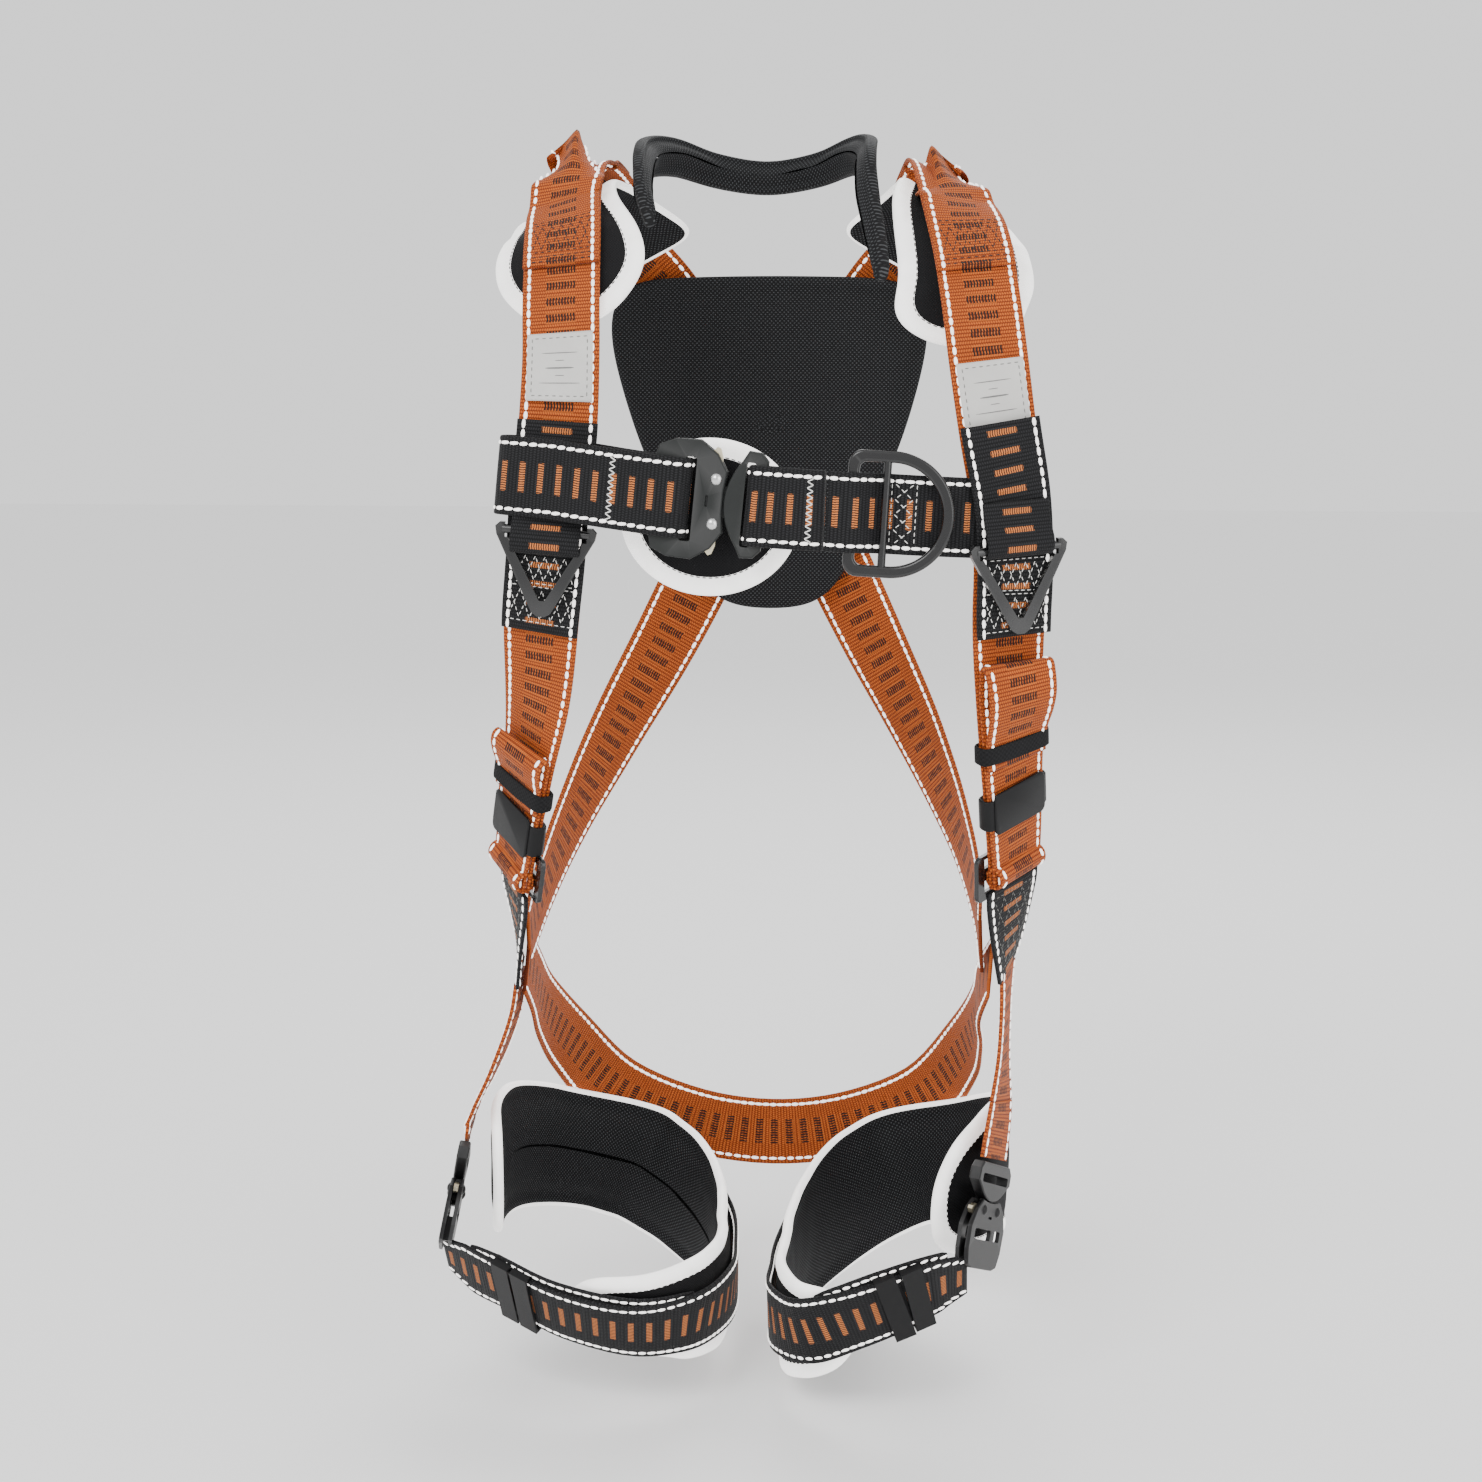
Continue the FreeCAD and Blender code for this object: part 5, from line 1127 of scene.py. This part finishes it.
def leg_pad(side):
    rows = []
    pts = leg[side]
    total = span(pts)[-1]
    start = 94 if side < 0 else 70
    shift = 7.0 if side < 0 else -4.0
    wide = [(0, 26), (16, 56), (45, 70), (110, 82), (200, 84), (300, 84)]
    for i in range(19):
        f = start + (total - 8 - start) * i / 18
        m = part_of(pts, f, f + 2)[0]
        w = table(wide, f - start)
        mid = add(m[0], mul(m[2], -(4.0 + GAP + SEAT_T / 2)))
        mid = add(mid, mul(m[3], shift * (1 if m[3][2] > 0 else -1) * max(0.0, 1 - (f - start) / 150)))
        rows.append((add(mid, mul(m[3], w / 2)), sub(mid, mul(m[3], w / 2)), m[2], 0.0))
    k = 1 if side > 0 else -1
    last = rows[-1]
    outer_end = ((122, 80, -450, 142, 84), (148, 54, -438, 118, 86), (163, 20, -430, 98, 88), (166, -8, -432, 84, 86), (161, -30, -438, 68, 78)) if side < 0 else \
        ((122, 80, -450, 142, 84), (147, 54, -438, 118, 86), (156, 20, -430, 98, 92), (149.5, -12, -426, 80, 94), (139, -38, -427, 64, 90), (124, -56, -431, 52, 70), (112, -66, -438, 44, 40))
    for x, y, z, deg, w in outer_end:
        nn = facing(side, deg, 0)
        acr = unit(cross(unit(cross((0, 0, 1), nn)), nn))
        sgn = 1 if dot(acr, sub(last[0], last[1])) > 0 else -1
        acr = mul(acr, sgn)
        p = (k * x, y, z)
        rows.append((add(p, mul(acr, w / 2)), sub(p, mul(acr, w / 2)), nn, 0.0))
    return rows
for side in (R, L):
    cushion("leg_pad_%s_soft" % NAME[side], Sheet(leg_pad(side)), SEAT_T + 1.0, rim=10.5, step=6.0, cap=0.0022)
class Folded(Web):
    """Webbing pinched lengthwise at the top of an arch."""
    mid, u0, reach, angle = 0.0, 0.0, 46.0, 1.18
    def turn(self, s):
        k = max(0.0, 1 - ((s - self.mid) / self.reach) ** 2)
        return self.angle * k * k * (3 - 2 * k)
    def squeeze(self, u, s): return math.cos(self.turn(s)) * 0.92 + 0.08
    def bulge(self, u, s):
        d = abs(u - self.u0 * math.sin(self.turn(s)))
        return super().bulge(u, s) - (math.sqrt(d * d + 9) - 3) * math.sin(self.turn(s)) * 0.92

def poly_plate(m, hw, hh, h, t, r):
    """A flat plate with round corners standing h above a web's middle, in the web's own directions."""
    pts = []
    for cx, cy, a0 in ((hw - r, hh - r, 0), (-hw + r, hh - r, 90), (-hw + r, -hh + r, 180), (hw - r, -hh + r, 270)):
        for k in range(5):
            g_ = math.radians(a0 + 22.5 * k)
            pts.append((cx + r * math.cos(g_), cy + r * math.sin(g_)))
    n = len(pts)
    v = []
    for lift, scale in ((h - t, 1.0), (h - 0.4, 1.0), (h, 0.965)):
        for x, y in pts: v.append(add(add(add(m[0], mul(m[3], x * scale)), mul(m[1], y * scale)), mul(m[2], lift)))
    f = []
    for j in range(2):
        for i in range(n):
            k = (i + 1) % n
            f.append((j * n + i, j * n + k, (j + 1) * n + k, (j + 1) * n + i))
    f.append(tuple(range(n))[::-1]); f.append(tuple(2 * n + i for i in range(n)))
    return v, f

# ---------------------------------------------------------------- tails, keepers, loops, labels
for side in (R, L):
    nm = NAME[side]
    rows = shoulder[side]
    s = span(rows); end = s[-1]
    at = heights(rows)
    top_z, keep_z, tag_z = (-146, -172, -196.5) if side < 0 else (-94, -142, -177)
    a, kz, tz = at(top_z), at(keep_z), at(tag_z)
    piece = Piece("torso_tail_%s_cloth" % nm)
    def on_web(s_, h_, rows=rows):
        m = part_of(rows, max(0, min(end - 0.5, s_)), min(end, s_ + 0.4))[0]
        return add(m[0], mul(m[2], h_)), m[3]
    def strip(profile):
        pts = [on_web(s_, h_) for s_, h_ in profile]
        flat = spline([p + q for p, q in pts], 4)
        out_ = []
        n_ = len(flat)
        for q in range(n_):
            d = unit(sub(flat[min(n_ - 1, q + 1)][0:3], flat[max(0, q - 1)][0:3]))
            ac = unit(flat[q][3:6]); ac = unit(sub(ac, mul(d, dot(ac, d))))
            out_.append([flat[q][0:3], d, cross(ac, d), ac, ()])
        return out_
    if side < 0:
        prof = [(end - 2, 3.4), (end - 20, 3.4), (kz, 3.3), (a + 12, 3.6), (a + 4, 4.4), (a - 1.5, 7.2), (a + 0.6, 10.6), (a + 6, 11.4), (a + 14, 9.4), (kz - 6, 6.4), (kz, 5.8), (kz + 9, 6.0)]
    else:
        prof = [(end - 2, 3.4), (end - 20, 3.4), (kz, 3.3), (a + 16, 4.2), (a + 5, 6.4), (a - 2.2, 9.0), (a - 1.4, 12.4), (a + 5, 14.6), (a + 16, 15.4), (a + 28, 12.4), (kz - 8, 7.4), (kz, 5.9), (kz + 9, 6.1)]
    sm = strip(prof)
    if dot(sm[2][2], rows[len(rows) // 2][2]) > 0: sm = [[p, d, mul(o_, -1), mul(ac, -1), e] for p, d, o_, ac, e in sm]
    tw = Web(sm, WEB_W, 2.0, seed=15 + side, step=1.6, wave=0.3)
    tw.build(piece, "orange"); tw.beads(piece, sides=(-1, 1))
    # the web rolled round the adjuster's bar
    c0, ac0 = on_web(end - 7, 2.4)
    m0 = rows[-1]
    ring_ = []
    for q in range(26):
        g_ = 2 * math.pi * q / 26
        rad = 5.6 + 0.35 * math.sin(g_ * 1.5)
        o_ = add(mul(m0[2], math.cos(g_)), mul(m0[1], math.sin(g_)))
        d_ = add(mul(m0[2], -math.sin(g_)), mul(m0[1], math.cos(g_)))
        ring_.append([add(c0, mul(o_, rad)), d_, o_, cross(d_, o_), ()])
    rw = Web(ring_, WEB_W, 2.0, closed=True, seed=31, step=1.6, wave=0.25, v0=4.0)
    rw.build(piece, "orange"); rw.beads(piece, sides=(1,))
    piece.make(HARNESS, SLOT["torso_tail_" + nm], ("torso_tail_" + nm,))
    # keepers: an elastic band and a black tag, both round the web and its tail
    for word, sz, wide_, key, hi_ in (("elastic_keeper_", kz, 11.0, "elastic", 7.9), ("tag_keeper_", tz, 20.0, "keeper", 6.4)):
        mk = part_of(rows, sz, sz + 1)[0]
        hw, lo_ = WEB_W / 2 + 2.2, -3.8
        loop_ = []
        cy = (hi_ + lo_) / 2; hy = (hi_ - lo_) / 2
        for q in range(72):
            g_ = 2 * math.pi * q / 72
            cx_, cy_ = math.cos(g_), math.sin(g_)
            x_ = hw * math.copysign(abs(cx_) ** 0.24, cx_)
            y_ = cy + hy * math.copysign(abs(cy_) ** 0.42, cy_) + (0.5 * math.cos(x_ / 9.0) if cy_ > 0 else 0)
            loop_.append(add(add(mk[0], mul(mk[3], x_)), mul(mk[2], y_)))
        made_ = []
        for q in range(72):
            d_ = unit(sub(loop_[(q + 1) % 72], loop_[q - 1]))
            o_ = unit(cross(d_, mk[1]))
            if dot(o_, sub(loop_[q], add(mk[0], mul(mk[2], cy)))) < 0: o_ = mul(o_, -1)
            made_.append([loop_[q], d_, o_, cross(d_, o_), ()])
        kp = Piece(word + nm + "_band")
        kb = Web(made_, wide_, 1.5, closed=True, seed=41, step=2.0, wave=0.12)
        kb.build(kp, key)
        if word == "tag_keeper_":
            # the tag's face: a thicker plate with turned-in corners on the front of the band
            face_ = poly_plate(mk, 21.0, 13.6, hi_ + 1.3, 1.5, 4.0)
            kp.patch(face_[0], face_[1], "keeper")
        kp.make(BODY[word + nm], SLOT[word + nm], (word + nm,))
    # retrieval loop
    def stretch(y0, y1):
        return [m for m in lifted(rows, 2.8) if y1 <= m[0][1] <= y0 and m[0][2] > 130]
    behind, before = stretch(58, 24), stretch(-36, -90)
    x = (behind[-1][0][0] + before[0][0][0]) / 2
    top = 215 if side < 0 else 204
    lean = 0.0 if side < 0 else -9.0
    arch_rows = [m[0] + m[2] for m in behind] + [(x + lean * 0.8, 15, top - 10) + unit((-0.3 * side, 0.94, 0.34)), (x + lean, 0, top) + unit((-0.25 * side, 0.0, 1.0)), (x + lean * 0.5, -14, top - 11.5) + unit((0, -0.92, 0.4))] + [m[0] + m[2] for m in before]
    arch = frames(arch_rows, 4)
    piece = Piece("retrieval_loop_%s_cloth" % nm)
    w_ = Folded(arch, WEB_W, WEB_T, seed=19, step=2.0, wave=0.3)
    s_all = span(arch)
    w_.mid = next(v for v, m in zip(s_all, arch) if m[0][1] <= 0.5)
    w_.u0 = 5.0 * side
    w_.build(piece, "orange"); w_.beads(piece, sides=(1,))
    T0 = w_.total
    thread(piece, w_, [(-18.5, T0 - 3), (18.5, T0 - 3)], "thread_black", r=0.4); thread(piece, w_, [(-18.5, T0 - 6.5), (18.5, T0 - 6.5)], "thread_black", r=0.4)
    box_stitch(piece, w_, T0 - 34, T0 - 10, 17, "thread_black", cells=3, r=0.4)
    thread(piece, w_, [(-18.5, T0 - 37), (18.5, T0 - 37)], "thread_black", r=0.4)
    piece.make(HARNESS, SLOT["retrieval_loop_" + nm], ("retrieval_loop_" + nm,))
    # label
    cz = 74 if side < 0 else 59
    lab = lifted(along_front(side, cz + 19, cz - 19), 2.5)
    piece = Piece("label_%s_cloth" % nm)
    lw = Web(lab, 38, 0.9, seed=21, wave=0.25, step=1.5)
    lw.build(piece, "label")
    T_ = lw.total
    thread(piece, lw, [(-16, 3), (16, 3), (16, T_ - 3), (-16, T_ - 3), (-16, 3)], "thread_grey", dash=2.4, gap=1.6, r=0.3)
    for k, (half_, s_) in enumerate(((11.5, 0.30), (3, 0.41), (9, 0.52), (3, 0.63), (13, 0.74))):
        thread(piece, lw, [(-half_, T_ * s_), (half_, T_ * s_)], "ink", dash=60, gap=0.1, r=0.22 if k != 2 else 0.42)
    piece.make(HARNESS, SLOT["label_" + nm], ("label_" + nm,))

# ---------------------------------------------------------------- hardware kept from the frame
LOOK = {"buckle_grey": "grey", "buckle_black": "black_coat", "ring_black": "gloss", "rivet_steel": "steel", "release_tab": "brass",
        "keeper_black": "keeper", "elastic_black": "elastic", "pad_cover": "cover", "pad_mesh": "mesh", "webbing_black": "black", "webbing_orange": "orange", "label_white": "label"}
for n, ob in frame["nodes"].items():
    ob.data.materials.clear()
    ob.data.materials.append(M[LOOK[SLOT[n]]])

# ---------------------------------------------------------------- floor, light and camera
low = cad_box[0][2] if hasattr(cad_box[0], "__len__") else -0.56
floor_z = low - 0.012
bm = bmesh.new()
bmesh.ops.create_grid(bm, x_segments=2, y_segments=2, size=6.0)
me = bpy.data.meshes.new("floor"); bm.to_mesh(me); bm.free()
floor = bpy.data.objects.new("floor", me); bpy.context.scene.collection.objects.link(floor)
floor.location = (0, 2.5, floor_z)
g = Graph("floor_pale"); g.set(Base_Color=(0.93, 0.93, 0.93), Roughness=0.9)
me.materials.append(g.mat)
world = bpy.data.worlds.new("studio"); bpy.context.scene.world = world
world.use_nodes = True
bg = world.node_tree.nodes["Background"]
bg.inputs[0].default_value = (1.0, 1.0, 1.0, 1.0); bg.inputs[1].default_value = 1.25
def area(name, at, to, size, power, colour=(1, 1, 1)):
    l = bpy.data.lights.new(name, "AREA"); l.shape = "RECTANGLE"; l.size, l.size_y = size
    l.energy = power; l.color = colour
    o = bpy.data.objects.new(name, l); bpy.context.scene.collection.objects.link(o)
    o.location = at
    o.rotation_euler = (Vector(to) - Vector(at)).to_track_quat("-Z", "Y").to_euler()
area("key", (-0.9, -2.0, 1.6), (0, 0, -0.1), (1.4, 1.4), 38)
area("fill", (1.6, -1.4, 0.5), (0, 0, -0.2), (1.2, 1.8), 16)
area("rim", (0.2, 2.0, 1.5), (0, 0, 0), (1.6, 1.0), 24)
cam_d = bpy.data.cameras.new("camera"); cam = bpy.data.objects.new("camera", cam_d)
bpy.context.scene.collection.objects.link(cam)
psi, th = math.radians(5.0), math.radians(9.0)
rv = Vector((math.cos(psi), math.sin(psi), 0)); f0 = Vector((-math.sin(psi), math.cos(psi), 0))
fw = Vector((f0.x * math.cos(th), f0.y * math.cos(th), -math.sin(th)))
upv = rv.cross(fw)
cam.location = (-1.535 * f0 + (-0.0098) * rv + Vector((0, 0, 0.087)))
cam.matrix_world = Matrix(((rv.x, upv.x, -fw.x, cam.location.x), (rv.y, upv.y, -fw.y, cam.location.y), (rv.z, upv.z, -fw.z, cam.location.z), (0, 0, 0, 1)))
cam_d.sensor_width = 36.0; cam_d.lens = 36.0 * 2500 / 1482
cam_d.clip_start = 0.05
bpy.context.scene.camera = cam

bpy.context.view_layer.update()
